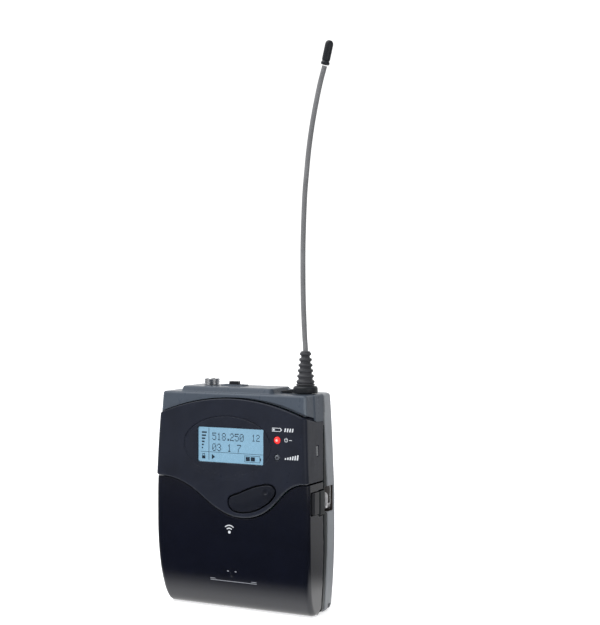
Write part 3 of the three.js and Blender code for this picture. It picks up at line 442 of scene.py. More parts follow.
# ------------------------------------------------------------------ materials
def node_tree(name):
    m = bpy.data.materials.new(name)
    m.use_nodes = True
    nt = m.node_tree
    nt.nodes.clear()
    out = nt.nodes.new("ShaderNodeOutputMaterial")
    bsdf = nt.nodes.new("ShaderNodeBsdfPrincipled")
    nt.links.new(bsdf.outputs[0], out.inputs[0])
    coord = nt.nodes.new("ShaderNodeTexCoord")
    return m, nt, bsdf, coord


def noise(nt, coord, scale, detail=3.0, rough=0.55, stretch=None):
    n = nt.nodes.new("ShaderNodeTexNoise")
    n.inputs["Scale"].default_value = scale
    n.inputs["Detail"].default_value = detail
    n.inputs["Roughness"].default_value = rough
    src = coord.outputs["Object"]
    if stretch:
        mp = nt.nodes.new("ShaderNodeMapping")
        mp.inputs["Scale"].default_value = stretch
        nt.links.new(src, mp.inputs["Vector"])
        src = mp.outputs[0]
    nt.links.new(src, n.inputs["Vector"])
    return n.outputs["Fac"]


def ramp(nt, fac, stops):
    r = nt.nodes.new("ShaderNodeValToRGB")
    e = r.color_ramp.elements
    e[0].position, e[0].color = stops[0][0], (*stops[0][1], 1)
    e[1].position, e[1].color = stops[-1][0], (*stops[-1][1], 1)
    for p, c in stops[1:-1]:
        x = e.new(p)
        x.color = (*c, 1)
    nt.links.new(fac, r.inputs[0])
    return r.outputs[0]


def remap(nt, fac, a, b, lo=0.3, hi=0.7):
    m = nt.nodes.new("ShaderNodeMapRange")
    m.inputs["From Min"].default_value, m.inputs["From Max"].default_value = lo, hi
    m.inputs["To Min"].default_value, m.inputs["To Max"].default_value = a, b
    nt.links.new(fac, m.inputs["Value"])
    return m.outputs[0]


def bump(nt, bsdf, height, distance, strength=1.0, after=None):
    b = nt.nodes.new("ShaderNodeBump")
    b.inputs["Distance"].default_value = distance
    b.inputs["Strength"].default_value = strength
    nt.links.new(height, b.inputs["Height"])
    if after is not None:
        nt.links.new(after, b.inputs["Normal"])
    nt.links.new(b.outputs[0], bsdf.inputs["Normal"])
    return b.outputs[0]


def shade(c, k):
    return tuple(min(1.0, v * k) for v in c)


def plastic(name, colour, rough=0.42, grain=2600, depth=0.000012, spec=0.5, vary=0.12, dr=0.07, coat=0.0, strength=0.35):
    """Moulded plastic: fine spark-eroded grain, slow change of shade and gloss, faint handling marks."""
    m, nt, b, co = node_tree(name)
    slow = noise(nt, co, 90, 4, 0.6)
    fine = noise(nt, co, grain, 2, 0.6)
    nt.links.new(ramp(nt, slow, [(0.3, shade(colour, 1 - vary)), (0.5, colour), (0.72, shade(colour, 1 + vary))]), b.inputs["Base Color"])
    marks = noise(nt, co, 420, 5, 0.7, stretch=(1, 1, 0.35))
    nt.links.new(remap(nt, marks, rough - dr, rough + dr), b.inputs["Roughness"])
    bump(nt, b, fine, depth, strength)
    b.inputs["Specular IOR Level"].default_value = spec
    if coat:
        b.inputs["Coat Weight"].default_value = coat
        b.inputs["Coat Roughness"].default_value = 0.12
    return m


def metal(name, colour, rough=0.2, brushed=None, dr=0.06, vary=0.08, grain=1200, depth=0.000004, metallic=1.0):
    """Metal: drawn or turned lines, slight tarnish."""
    m, nt, b, co = node_tree(name)
    slow = noise(nt, co, 160, 4, 0.6)
    nt.links.new(ramp(nt, slow, [(0.3, shade(colour, 1 - vary)), (0.6, colour), (0.8, shade(colour, 1 + vary / 2))]), b.inputs["Base Color"])
    lines = noise(nt, co, grain, 3, 0.6, stretch=brushed)
    nt.links.new(remap(nt, lines, max(0.03, rough - dr), rough + dr), b.inputs["Roughness"])
    bump(nt, b, lines, depth, 0.4)
    b.inputs["Metallic"].default_value = metallic
    return m


def rubber(name, colour, rough=0.62):
    m, nt, b, co = node_tree(name)
    slow = noise(nt, co, 120, 4, 0.6)
    fine = noise(nt, co, 1800, 3, 0.65)
    nt.links.new(ramp(nt, slow, [(0.3, shade(colour, 0.85)), (0.5, colour), (0.75, shade(colour, 1.2))]), b.inputs["Base Color"])
    nt.links.new(remap(nt, fine, rough - 0.08, rough + 0.1), b.inputs["Roughness"])
    bump(nt, b, fine, 0.00002, 0.45)
    b.inputs["Specular IOR Level"].default_value = 0.4
    return m


def board(name, mask=(0.018, 0.11, 0.05), copper=(0.03, 0.19, 0.09)):
    """Circuit board: solder mask over tracks and pads."""
    m, nt, b, co = node_tree(name)
    mp = nt.nodes.new("ShaderNodeMapping")
    mp.inputs["Rotation"].default_value = (math.pi / 2, 0, 0)
    nt.links.new(co.outputs["Object"], mp.inputs["Vector"])
    br = nt.nodes.new("ShaderNodeTexBrick")
    br.inputs["Scale"].default_value = 330
    br.inputs["Mortar Size"].default_value = 0.06
    br.inputs["Brick Width"].default_value = 2.3
    br.inputs["Row Height"].default_value = 0.33
    br.inputs["Color1"].default_value = (0, 0, 0, 1)
    br.inputs["Color2"].default_value = (0.15, 0.15, 0.15, 1)
    br.inputs["Mortar"].default_value = (1, 1, 1, 1)
    nt.links.new(mp.outputs[0], br.inputs["Vector"])
    vo = nt.nodes.new("ShaderNodeTexVoronoi")
    vo.inputs["Scale"].default_value = 420
    nt.links.new(co.outputs["Object"], vo.inputs["Vector"])
    base = ramp(nt, br.outputs["Color"], [(0.1, mask), (0.6, copper)])
    pads = ramp(nt, vo.outputs["Distance"], [(0.1, (1, 1, 1)), (0.16, (0, 0, 0))])
    mix = nt.nodes.new("ShaderNodeMix")
    mix.data_type = "RGBA"
    nt.links.new(pads, mix.inputs["Factor"])
    nt.links.new(base, mix.inputs["A"])
    mix.inputs["B"].default_value = (0.62, 0.6, 0.5, 1)
    nt.links.new(mix.outputs["Result"], b.inputs["Base Color"])
    nt.links.new(remap(nt, noise(nt, co, 700, 3), 0.26, 0.42), b.inputs["Roughness"])
    bump(nt, b, br.outputs["Color"], 0.00002, 0.5)
    return m


def glow(name, colour, light, strength, rough=0.25, scale=900, spread=0.06):
    """A lit surface: colour and light change slightly over it."""
    m, nt, b, co = node_tree(name)
    slow = noise(nt, co, scale, 2, 0.5)
    nt.links.new(ramp(nt, slow, [(0.3, shade(colour, 1 - spread)), (0.7, colour)]), b.inputs["Base Color"])
    nt.links.new(ramp(nt, slow, [(0.3, shade(light, 1 - spread)), (0.7, light)]), b.inputs["Emission Color"])
    b.inputs["Emission Strength"].default_value = strength
    nt.links.new(remap(nt, slow, rough, rough + 0.1), b.inputs["Roughness"])
    return m


def clear(name, tint=(0.92, 0.95, 0.97), rough=0.03):
    m, nt, b, co = node_tree(name)
    wear = noise(nt, co, 260, 5, 0.7)
    nt.links.new(ramp(nt, wear, [(0.3, shade(tint, 0.97)), (0.7, tint)]), b.inputs["Base Color"])
    nt.links.new(remap(nt, wear, rough, rough + 0.05, 0.45, 0.75), b.inputs["Roughness"])
    b.inputs["Transmission Weight"].default_value = 1.0
    b.inputs["IOR"].default_value = 1.33
    return m


def cell_wrap(name):
    """Battery sleeve: dark printed film with a pale band and a metal-coloured end, no lettering."""
    m, nt, b, co = node_tree(name)
    sep = nt.nodes.new("ShaderNodeSeparateXYZ")
    nt.links.new(co.outputs["Object"], sep.inputs[0])
    t = remap(nt, sep.outputs[0], 0, 1, -0.0247, 0.0247)
    col = ramp(nt, t, [(0.0, (0.05, 0.055, 0.065)), (0.66, (0.05, 0.055, 0.065)), (0.665, (0.55, 0.56, 0.57)), (0.685, (0.55, 0.56, 0.57)), (0.69, (0.16, 0.25, 0.36)), (1.0, (0.13, 0.21, 0.32))])
    nt.links.new(col, b.inputs["Base Color"])
    wear = noise(nt, co, 240, 5, 0.7)
    nt.links.new(remap(nt, wear, 0.2, 0.34), b.inputs["Roughness"])
    bump(nt, b, noise(nt, co, 900, 3), 0.000008, 0.3)
    b.inputs["Metallic"].default_value = 0.35
    b.inputs["Coat Weight"].default_value = 0.4
    b.inputs["Coat Roughness"].default_value = 0.1
    return m


MAT = {
    "top": plastic("top_paint", (0.064, 0.079, 0.102), 0.31, spec=0.36, vary=0.08, strength=0.14),
    "panel": plastic("panel_plastic", (0.0135, 0.0165, 0.028), 0.34, spec=0.36, vary=0.16, strength=0.25),
    "cover": plastic("cover_plastic", (0.0026, 0.0038, 0.0105), 0.22, spec=0.62, vary=0.12, dr=0.015, depth=0.000005, strength=0.02),
    # painted highlight: a lighter base colour, with a glossier finish, for the faces along the display panel's lower
    # tongue edge
    "panel_edge_highlight": plastic("panel_edge_highlight", (0.03, 0.034, 0.046), 0.24, spec=0.7, vary=0.12, depth=0.000006, strength=0.1),
    # painted highlight: a lighter base colour, with a glossier finish, for the top housing's front vertical edges
    "top_edge_highlight": plastic("top_edge_highlight", (0.11, 0.13, 0.155), 0.26, spec=0.6, vary=0.08, depth=0.000006, strength=0.1),
    "catch": plastic("catch_plastic", (0.016, 0.017, 0.021), 0.34, strength=0.2),
    "rear": plastic("rear_plastic", (0.29, 0.305, 0.325), 0.42, spec=0.5, vary=0.07, strength=0.3),
    "frame": plastic("frame_plastic", (0.013, 0.018, 0.02), 0.4, spec=0.4, vary=0.14),
    # painted shade: dark brownish plastic for the rear shell's faces inside the belt-clip pocket
    "pocket": plastic("pocket_painted_shade", (0.045, 0.036, 0.032), 0.5, vary=0.15),
    "button": plastic("button_plastic", (0.0085, 0.0105, 0.0185), 0.36, grain=2800, depth=0.00001, spec=0.4),
    "key": plastic("key_plastic", (0.05, 0.053, 0.06), 0.5, grain=3000),
    "slider": plastic("slider_plastic", (0.012, 0.013, 0.017), 0.4),
    "black": plastic("black_plastic", (0.014, 0.015, 0.017), 0.5, vary=0.2),
    "diffuser": plastic("diffuser_plastic", (0.8, 0.82, 0.84), 0.4, vary=0.04),
    "rubber": rubber("soft_rubber", (0.016, 0.016, 0.018)),
    "boot": rubber("boot_rubber", (0.05, 0.051, 0.056), 0.36),
    "flange": rubber("flange_rubber", (0.016, 0.018, 0.022), 0.4),
    "whip": rubber("whip_sleeve", (0.17, 0.17, 0.175), 0.42),
    "clip": metal("clip_nickel", (0.78, 0.78, 0.79), 0.3, dr=0.03, vary=0.06, grain=500, depth=0.0000006, metallic=0.6),
    "chrome": metal("chrome_plate", (0.72, 0.73, 0.75), 0.12, grain=900),
    "steel": metal("spring_steel", (0.5, 0.51, 0.53), 0.26, brushed=(1, 1, 6)),
    "nickel": metal("contact_nickel", (0.62, 0.6, 0.55), 0.24, brushed=(4, 1, 1)),
    "plate": metal("plate_aluminium", (0.5, 0.51, 0.52), 0.36, brushed=(0.08, 1, 3), grain=2600),
    "brass": metal("contact_brass", (0.66, 0.5, 0.24), 0.28),
    "board": board("circuit_board"),
    "print": plastic("white_print", (0.62, 0.64, 0.67), 0.55, vary=0.06),
    "print_dim": plastic("grey_print", (0.3, 0.31, 0.34), 0.55, vary=0.06),
    "lcd": glow("lcd_lit", (0.1, 0.15, 0.19), (0.43, 0.74, 0.98), 0.7, 0.2),
    "segment": plastic("lcd_segment", (0.09, 0.14, 0.22), 0.5, vary=0.2),
    "led_red": glow("led_red", (0.5, 0.01, 0.01), (1.0, 0.05, 0.045), 1.0, 0.18),
    "led_core": glow("led_core", (0.9, 0.3, 0.25), (1.0, 0.34, 0.34), 0.85, 0.2),
    "led_grey": plastic("led_grey", (0.11, 0.12, 0.14), 0.22, coat=0.5, vary=0.2),
    "led_dark": plastic("led_chip", (0.02, 0.02, 0.025), 0.4),
    "lens": clear("window_clear"),
    "ir": plastic("ir_clear", (0.11, 0.115, 0.125), 0.2, coat=0.5),
    "sleeve": cell_wrap("cell_sleeve"),
    "chip": plastic("chip_epoxy", (0.012, 0.012, 0.013), 0.5, vary=0.25),
    "ceramic": plastic("ceramic_part", (0.35, 0.28, 0.2), 0.5, vary=0.2),
}

MADE = []


def add(name, mesh, body, mat, replaces=()):
    mesh.materials.clear()
    mesh.materials.append(MAT[mat] if isinstance(mat, str) else mat)
    o = bpy.data.objects.new(name, mesh)
    SCENE.collection.objects.link(o)
    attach(o, body)
    if replaces:
        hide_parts(*([replaces] if isinstance(replaces, str) else replaces))
    MADE.append(o)
    return o


def keep(node, mat, bevel=0.12):
    """A CAD node that stays, with a real material and softened edges."""
    o = NODES[node]
    o.data.materials.clear()
    o.data.materials.append(MAT[mat])
    w = o.modifiers.new("weld", "WELD")
    w.merge_threshold = 2e-6
    if bevel:
        b = o.modifiers.new("soft_edges", "BEVEL")
        b.width = bevel * 0.001
        b.segments = 2
        b.limit_method = "ANGLE"
        b.angle_limit = math.radians(40)
        b.harden_normals = True
    return o


# ------------------------------------------------------------------ the case's outer form
def outline(x, y, z, front, side=0.0, rf=1.8, rb=3.6):
    a = (np.abs(x) - (HALF_WIDTH(z) - side)) * HALF_WIDTH.unit(z)
    f = (-y - front(z)) * front.unit(z)
    b = (y - BACK(z)) * BACK.unit(z)
    return np.maximum(rmax(a, f, rf), rmax(a, b, rb))


GAP = 0.1


def f_top(x, y, z):
    side = 0.25 * (1 - smooth(-5.0, -3.6, y))
    o = rmax(outline(x, y, z, TOP, side, 1.1), z - CASE_TOP, 0.9)
    d = rmax(o, -(o + 1.6), 0.15)
    d = rmax(d, (y - (SEAM(z) - GAP)) * SEAM.unit(z), 0.3)
    s = arch_dist(x, y, z)
    back = smooth(-5.0, -3.6, y)
    d = rmax(d, GAP * (1 - 0.8 * back) - s, 0.2 - 0.12 * back)
    # the step under the housing widens towards the right
    w = 0.2 + 0.75 * smooth(-6, 26, x)
    d = rmax(d, -np.maximum(np.maximum(s - w, -(o + 0.9)), y + 4.4), 0.12)
    # raised deck
    x0, x1, y0, y1 = PLATEAU
    p = (rect(x, y, x0 - 0.5, x1, y0, y1, 2.0) + (z - CASE_TOP) * 0.42) / 1.085
    deck = rmax(rmax(p, z - PLATEAU_TOP - 0.1, 0.45), 78.6 - z, 0.3)
    d = rmin(d, deck, 0.35)
    d = np.minimum(d, rmax(rect(x, y, x0 + 0.15, x1 - 0.05, 0, y1 - 0.05, 1), span(z, CASE_TOP - 1.5, CASE_TOP + 0.1), 0.1))
    # low ridge that runs on to the antenna's base
    ridge = rmax(rbox(x, y, z, 12.0, 21.6, 3.4, 6.9, 78.6, 81.15, 1.0), z - (81.6 - 0.16 * np.maximum(x - 13, 0)), 0.3)
    d = rmin(d, np.maximum(ridge, (y - 3.6) * -1 - 0.6), 0.5)
    rim = rmax(rect(x, y, MUTE[0] - 5.1, MUTE[0] + 5.1, MUTE[1] - 2.3, MUTE[1] + 2.3, 1.2), span(z, 80, 82.4), 0.2)
    d = rmin(d, rim, 0.2)
    d = rmax(d, -rmax(rect(x, y, x0 + 2.4, x1 - 2.4, y0 + 2.2, y1 - 2.6, 1), span(z, 70, PLATEAU_TOP - 1.7), 0.2), 0.2)
    d = rmax(d, -(rod(x, y, JACK[0], JACK[1], JACK[2] + 0.14) + 0 * z), 0.15)
    d = rmax(d, -(rect(x, y, MUTE[0] - 4.2, MUTE[0] + 4.2, MUTE[1] - 1.4, MUTE[1] + 1.4, 0.5) + 0 * z), 0.15)
    d = rmax(d, -(rod(x, y, AX, AY, 2.5) + 0 * z), 0.15)
    return d


def f_panel(x, y, z):
    o = outline(x, y, z, PANEL)
    d = rmax(o, -(o + 1.8), 0.15)
    d = rmax(d, (y - (SEAM(z) - GAP)) * SEAM.unit(z), 0.3)
    back = smooth(-5.0, -3.6, y)
    d = rmax(d, arch_dist(x, y, z) + GAP * (1 - 0.8 * back), 0.38 - 0.3 * back)
    d = rmax(d, 0.16 - wave_dist(x, z), 0.8)
    # oval dish round the window
    cx, cz, rx, rz, depth = DISH
    cy = -PANEL(np.array(cz)) - 3.2 + depth
    edge = math.sqrt(1 - (1 - depth / 3.2) ** 2)
    rx, rz = rx / edge, rz / edge
    k = np.sqrt(((x - cx) / rx) ** 2 + ((y - cy) / 3.2) ** 2 + ((z - cz) / rz) ** 2)
    g = np.sqrt(((x - cx) / rx**2) ** 2 + ((y - cy) / 3.2**2) ** 2 + ((z - cz) / rz**2) ** 2)
    d = rmax(d, -(k * (k - 1) / np.maximum(g, 0.02)), 0.12)
    # fine line round the dish
    oval = (np.hypot((x - cx) / DISH[2], (z - cz) / DISH[3]) - 1) * 12.5
    d = rmax(d, -np.maximum(np.abs(oval) - 0.2, -(o + 0.2)), 0.1)
    w = WINDOW
    d = rmax(d, -rmax(rect(x, z, w[0] - 0.06, w[1] + 0.06, w[2] - 0.06, w[3] + 0.06, 0.55), y + 9, 0.1), 0.14)
    for lx, lz, r in LEDS:
        d = rmax(d, -np.maximum(rod(x, z, lx, lz, r + 0.08), y + 9), 0.18)
    d = rmax(d, -np.maximum(BUTTON_LINE(x, z) - 0.5, y + 9), 0.25)
    d = rmax(d, -np.maximum(rect(y, z, -4.45, -2.55, 57.85, 61.75, 0.3), 28 - x), 0.12)
    return d


def f_cover(x, y, z):
    a = (np.abs(x) - HALF_WIDTH(z)) * HALF_WIDTH.unit(z)
    f = (-y - COVER(z)) * COVER.unit(z)
    o = rmax(a, f, 1.8)
    o = np.maximum(o, rmax(a, -z, 1.5))
    o = rmax(o, -z, 0.3)
    d = rmax(o, -(o + 1.6), 0.15)
    d = rmax(d, (y - (SEAM(z) - 0.3)) * SEAM.unit(z), 0.18)
    d = rmax(d, wave_dist(x, z) + 0.14, 0.2)
    # rolled rear edge of the floor
    d = np.maximum(d, -np.maximum(span(z, -4, HINGE_Z), HINGE_Y - y))
    barrel = rmax(rod(y, z, HINGE_Y, HINGE_Z, HINGE_R), np.abs(x) - 30.2, 0.3)
    d = rmin(d, barrel, 0.3)
    d = rmax(d, -np.maximum(rod(y, z, HINGE_Y, HINGE_Z, PIN_R + 0.15), np.abs(x) - 28.2), 0.1)
    ears = np.minimum(np.abs(x) - EAR_MIDDLE - 0.3, np.abs(np.abs(x) - EAR_X) - EAR_HALF - 0.3)
    d = rmax(d, -np.maximum(np.maximum(ears, z - 6), HINGE_Y - 2.1 - y), 0.2)
    # side windows: the catch with the finger gap before it, and the keeper's notch
    ax = np.abs(x)
    win = np.maximum(rect(y, z, CATCH_Y0 - 1.45, CATCH_Y1 + 0.15, CATCH_Z0 - 0.2, CATCH_Z1 + 0.2, 0.35), 28 - ax)
    d = rmax(d, -win, 0.15)
    notch = np.maximum(np.maximum(span(z, BOSS_Z0 - 0.25, BOSS_Z1 + 0.45), BOSS_Y0 - 0.2 - y), 28 - ax)
    d = rmax(d, -notch, 0.15)
    # ribs inside the face
    rib = np.minimum(rbox(x, y, z, -22, 22, -11.3, -10.4, 33.3, 34.1, 0.2), np.maximum(rbox(x, y, z, -0.4, 0.4, -11.4, -10.7, 7, 33.6, 0.2), o))
    d = rmin(d, np.maximum(rib, o), 0.25)
    return d


KEEPER_LINE = Plane2(lambda u, v: polygon(u, v, [[29.5, BOSS_Y0], [31.6, BOSS_Y0], [32.4, BOSS_Y0 + 0.5], [32.4, 0.1], [31.9, 0.7], [31.0, 1.3], [29.5, 1.3]]), 26, 35, -6, 4, 0.08)


def f_chassis(x, y, z):
    ax = np.abs(x)
    o = (ax - (HALF_WIDTH(z) - 0.12)) * HALF_WIDTH.unit(z)
    o = rmax(o, 0.25 - z, 1.7)
    ring = rmax(o, -(o + 2.4), 0.2)
    ring = rmax(ring, np.maximum((SEAM(z) + 0.55 - y) * SEAM.unit(z), y - 3.1), 0.18)
    ring = rmax(ring, z - 72, 0.3)
    web = rbox(x, y, z, -30, 30, 1.6, 3.0, 36.4, 62, 0.2)
    web = rmax(web, -rbox(x, y, z, -12, 18, -5, 8, 44, 58, 1.0), 0.2)
    d = rmin(ring, web, 0.25)
    # tongue that closes the side joints from inside
    a = (ax - HALF_WIDTH(z)) * HALF_WIDTH.unit(z)
    front = np.where(z < 4.6, 2.6 - y, (SEAM(z) - 1.4 - y) * SEAM.unit(z))
    lip = rmax(np.maximum(a + 1.95, -a - 2.6), np.maximum(front, y - 5.0), 0.1)
    lip = np.maximum(lip, span(z, 1.9, 79.2))
    lip = np.maximum(lip, -rbox(ax, y, z, 27, 34, 2.6, 9, POCKET_Z0 - 1.3, POCKET_Z1 + 1.3, 0.1))
    d = np.minimum(d, lip)
    boss = rmax(KEEPER_LINE(ax, y) + 0 * z, span(z, BOSS_Z0, BOSS_Z1), 0.4)
    d = rmin(d, boss, 0.2)
    d = rmin(d, rbox(ax, y, z, 25.6, 29.9, 0.9, 5.1, 40.6, 46.0, 0.3), 0.2)
    d = rmax(d, -rbox(ax, y, z, 29.95, 34, 1.32, 8, POCKET_Z0, POCKET_Z1, 0.2), 0.15)
    d = rmax(d, -np.maximum(rod(y, z, CLIP_Y, CLIP_Z, 0.95), 26.6 - ax), 0.12)
    for c, half, foot in ((EAR_X, EAR_HALF, 0.35), (0.0, EAR_MIDDLE, 0.3)):
        u = np.abs(ax - c) if c else ax
        ear = rmax(rod(y, z, HINGE_Y, HINGE_Z, HINGE_R - 0.1), u - half, 0.2)
        arm = rmax(rmax(np.maximum(HINGE_Y - y, y - 3.2), np.maximum(foot - z, z - HINGE_Z - 1.5), 0.2), u - half, 0.2)
        d = rmin(d, np.minimum(ear, arm), 0.15)
    d = rmax(d, -np.maximum(rod(y, z, HINGE_Y, HINGE_Z, PIN_R + 0.1), ax - 28.5), 0.1)
    return d


def f_rear(x, y, z):
    ax = np.abs(x)
    a = (ax - HALF_WIDTH(z)) * HALF_WIDTH.unit(z)
    b = (y - BACK(z)) * BACK.unit(z)
    o = rmax(a, b, 3.6)
    o = np.maximum(o, rmax(a, -z, 1.6))
    o = rmax(o, -z, 0.4)
    o = rmax(o, z - CASE_TOP, 1.2)
    d = rmax(o, -(o + 1.8), 0.2)
    for sx, sz in SCREWS:
        d = rmin(d, np.maximum(np.maximum(rod(x, z, sx, sz, 2.9), (8.3 if sz < 40 else 5.6) - y), o), 0.3)
    d = rmax(d, SEAM_BACK + 0.05 - y, 0.3)
    d = rmax(d, -np.maximum(y - 4.1, CASE_TOP - 7 - z), 0.15)
    x0, x1, _, y1 = PLATEAU
    d = rmax(d, -rbox(x, y, z, x0 - 0.2, x1 + 0.2, -3, y1 + 0.25, CASE_TOP - 2, 95, 0.8), 0.12)
    d = rmin(d, np.maximum(rbox(ax, y, z, 27.7, 31.0, 5.5, 11.4, POCKET_Z0 - 1.1, POCKET_Z1 + 1.1, 0.4), o), 0.3)
    pocket = rmax(rmax(29.0 - ax, y - 8.0, 0.1), span(z, POCKET_Z0, POCKET_Z1), 0.4)
    d = rmax(d, -pocket, 0.2)
    d = rmax(d, -rmax(rmax(span(ax, 29.0, 30.8), 7 - y, 0.1), span(z, POCKET_Z0, POCKET_Z1), 0.4), 0.1)
    d = rmax(d, -rbox(ax, y, z, 28.4, 34, 6.4, 9.0, -1, 2.7, 0.5), 0.2)
    for sx, sz in SCREWS:
        d = rmax(d, -np.maximum(rod(x, z, sx, sz, 2.05), 10.3 - y), 0.15)
        d = rmax(d, -np.maximum(rod(x, z, sx, sz, 1.1), 4 - y), 0.1)
    d = rmax(d, -rmax(rect(x, z, -15, 15, 48, 68, 1.3), 11.6 - y, 0.1), 0.15)
    # shallow finger grooves below the plate
    for k in range(6):
        d = rmax(d, -(rod(y, z, 12.35, 30.0 - 2.2 * k, 0.62) + np.maximum(ax - 13 + 0 * y, 0)), 0.2)
    return d


add("top_housing_moulding", field_mesh("top_housing_moulding", f_top, (-31.5, -12.5, 70.5), (31.5, 8.2, 83), 0.22, 0.3), "case", "top", "top_housing")
add("display_panel_moulding", field_mesh("display_panel_moulding", f_panel, (-32.2, -13.2, 34), (32.2, 4.2, 79), 0.25, 0.3), "case", "panel", "display_panel")
panel_mesh, top_mesh = MADE[-1].data, MADE[-2].data


# Gives the picked faces a second material; below, this paints highlights along edges.
def paint_edge_highlight(me, mat, pick):
    me.materials.append(MAT[mat])
    c = np.zeros(len(me.polygons) * 3)
    n = np.zeros(len(me.polygons) * 3)
    me.polygons.foreach_get("center", c)
    me.polygons.foreach_get("normal", n)
    c, n = c.reshape(-1, 3).T * 1000, n.reshape(-1, 3).T
    me.polygons.foreach_set("material_index", pick(c, n).astype(np.int32))


# painted highlight along the lower edge of the display panel's tongue
paint_edge_highlight(panel_mesh, "panel_edge_highlight", lambda c, n: (c[1] < -11.4) & (n[2] < -0.1) & (wave_dist(c[0], c[2]) < 0.95) & (outline(c[0], c[1], c[2], PANEL) > -0.8))
# painted highlight along the top housing's front vertical edges
paint_edge_highlight(top_mesh, "top_edge_highlight", lambda c, n: (n[1] < -0.22) & (np.abs(n[0]) > 0.22) & (np.abs(c[0]) > 28.5) & (c[1] < -8.5) & (outline(c[0], c[1], c[2], TOP, 0.25, 1.1) > -0.15))
add("battery_cover_moulding", field_mesh("battery_cover_moulding", f_cover, (-32.2, -12.4, 0), (32.2, 1.6, 49), 0.26, 0.3), "battery_cover", "cover", "battery_cover")
add("chassis_moulding", field_mesh("chassis_moulding", f_chassis, (-32.6, -3.9, 0), (32.6, 5.3, 79.6), 0.25, 0.35), "case", "frame", "chassis")
add("rear_shell_moulding", field_mesh("rear_shell_moulding", f_rear, (-32.2, 3.4, 0), (32.2, 12.2, 80.2), 0.28, 0.28), "case", "rear", "rear_shell")
rear_mesh = MADE[-1].data
# painted shade: the rear shell's faces inside the belt-clip pocket get a dark material
rear_mesh.materials.append(MAT["pocket"])
mid = np.zeros(len(rear_mesh.polygons) * 3)
rear_mesh.polygons.foreach_get("center", mid)
mx, my, mz = mid.reshape(-1, 3).T * 1000
pocket_shade_faces = (np.abs(mx) > 28.6) & (np.abs(mx) < 31.9) & (my < 11.4) & (mz > POCKET_Z0 - 0.1) & (mz < POCKET_Z1 + 0.1)
pocket_shade_faces &= (outline(mx, my, mz, PANEL) < -0.2) & (my > 4.0)
rear_mesh.polygons.foreach_set("material_index", pocket_shade_faces.astype(np.int32))

# ------------------------------------------------------------------ catches
for s, side in ((-1, "left"), (1, "right")):
    def f_catch(x, y, z, s=s):
        u = s * x
        face = 32.5 - 0.5 * smooth(CATCH_Y0 + 0.9, CATCH_Y0, y)
        d = rmax(rect(y, z, CATCH_Y0, CATCH_Y1, CATCH_Z0, CATCH_Z1, 0.35), np.maximum(29.2 - u, u - face), 0.3)
        guide = rbox(u, y, z, 28.4, 29.6, CATCH_Y0 - 0.6, CATCH_Y1 + 0.1, CATCH_Z0 - 1.0, CATCH_Z1 + 1.0, 0.2)
        guide = np.maximum(guide, np.where(y < CATCH_Y0, u - 28.9, -9.0))
        return rmin(d, guide, 0.15)
    xs = sorted((s * 28.2, s * 32.7))
    add(f"catch_{side}_tab", field_mesh(f"catch_{side}_tab", f_catch, (xs[0], -9.7, 36.2), (xs[1], -4.1, 46.5), 0.13, 0.4), f"catch_{side}", "catch", f"catch_{side}")
    keep(f"catch_spring_{side}", "steel", 0.06)


# ------------------------------------------------------------------ power button and keys
BUTTON_Y = float(PANEL(np.array(42.5))) + 0.35


def f_button(x, y, z):
    line = BUTTON_LINE(x, z)
    # slightly crowned face
    crown = 0.3 * smooth(-3.6, 0, line)
    d = rmax(line + 0.06, np.maximum(-y - BUTTON_Y + crown, y + 10.4), 0.35)
    d = rmin(d, rmax(line - 0.85, span(y, -10.9, -10.2), 0.15), 0.15)
    k = np.sqrt((x - 15.2) ** 2 + (z - 45.2) ** 2)
    dimple = np.sqrt(k**2 + ((y + BUTTON_Y + 0.35) * 1.6) ** 2) - 1.25
    d = rmax(d, -dimple, 0.12)
    return rmin(d, rmax(rod(x, z, 9, 42.2, 1.6), span(y, -10.4, -9.3), 0.2), 0.15)


add("power_button_cap", field_mesh("power_button_cap", f_button, (-1.4, -13.5, 36), (20.2, -9.1, 48.8), 0.14, 0.35), "power_button", "button", "power_button")


def f_set(x, y, z):
    d = rmax(rod(x, z, -22.6, 39.6, 2.3), span(y, -9.7, -7.0), 0.3)
    d = rmin(d, rmax(rod(x, z, -22.6, 39.6, 2.9), span(y, -7.1, -6.6), 0.12), 0.12)
    return rmax(d, -(np.sqrt((x + 22.6) ** 2 + (z - 39.6) ** 2 + (y + 12.4) ** 2) - 3.05), 0.15)


add("set_key_cap", field_mesh("set_key_cap", f_set, (-25.8, -9.9, 36.5), (-19.5, -6.4, 42.7), 0.12, 0.5), "set_key", "key", "set_key")
ROCK = (-16.3, -7.2, 39.0)


def f_rock(x, y, z):
    u, w = x - ROCK[0], z - ROCK[2]
    front = -9.9 + 0.5 * (1 - np.clip(np.abs(w) / 2.8, 0, 1))
    d = rmax(rect(u, w, -2.3, 2.3, -2.8, 2.8, 0.5), np.maximum(front - y, y + 7.4 - 0.6 * (1 - smooth(1.2, 2.8, np.abs(w)))), 0.3)
    d = np.minimum(d, rmax(rod(y, z, ROCK[1], ROCK[2], 0.55), np.abs(u) - 2.3, 0.1))
    # raised arrow on each half
    for s in (-1, 1):
        t = s * w
        tri = np.maximum(0.9 - t, (t - 2.2) * 0.78 + np.abs(u) * 0.9)
        d = np.minimum(d, rmax(tri * 0.8, np.maximum(front - 0.14 - y, y + 9), 0.06))
    return d


add("rocker_key_cap", field_mesh("rocker_key_cap", f_rock, (-18.8, -10.1, 36.0), (-13.8, -6.5, 42.0), 0.12, 0.5), "rocker_key", "key", "rocker_key")


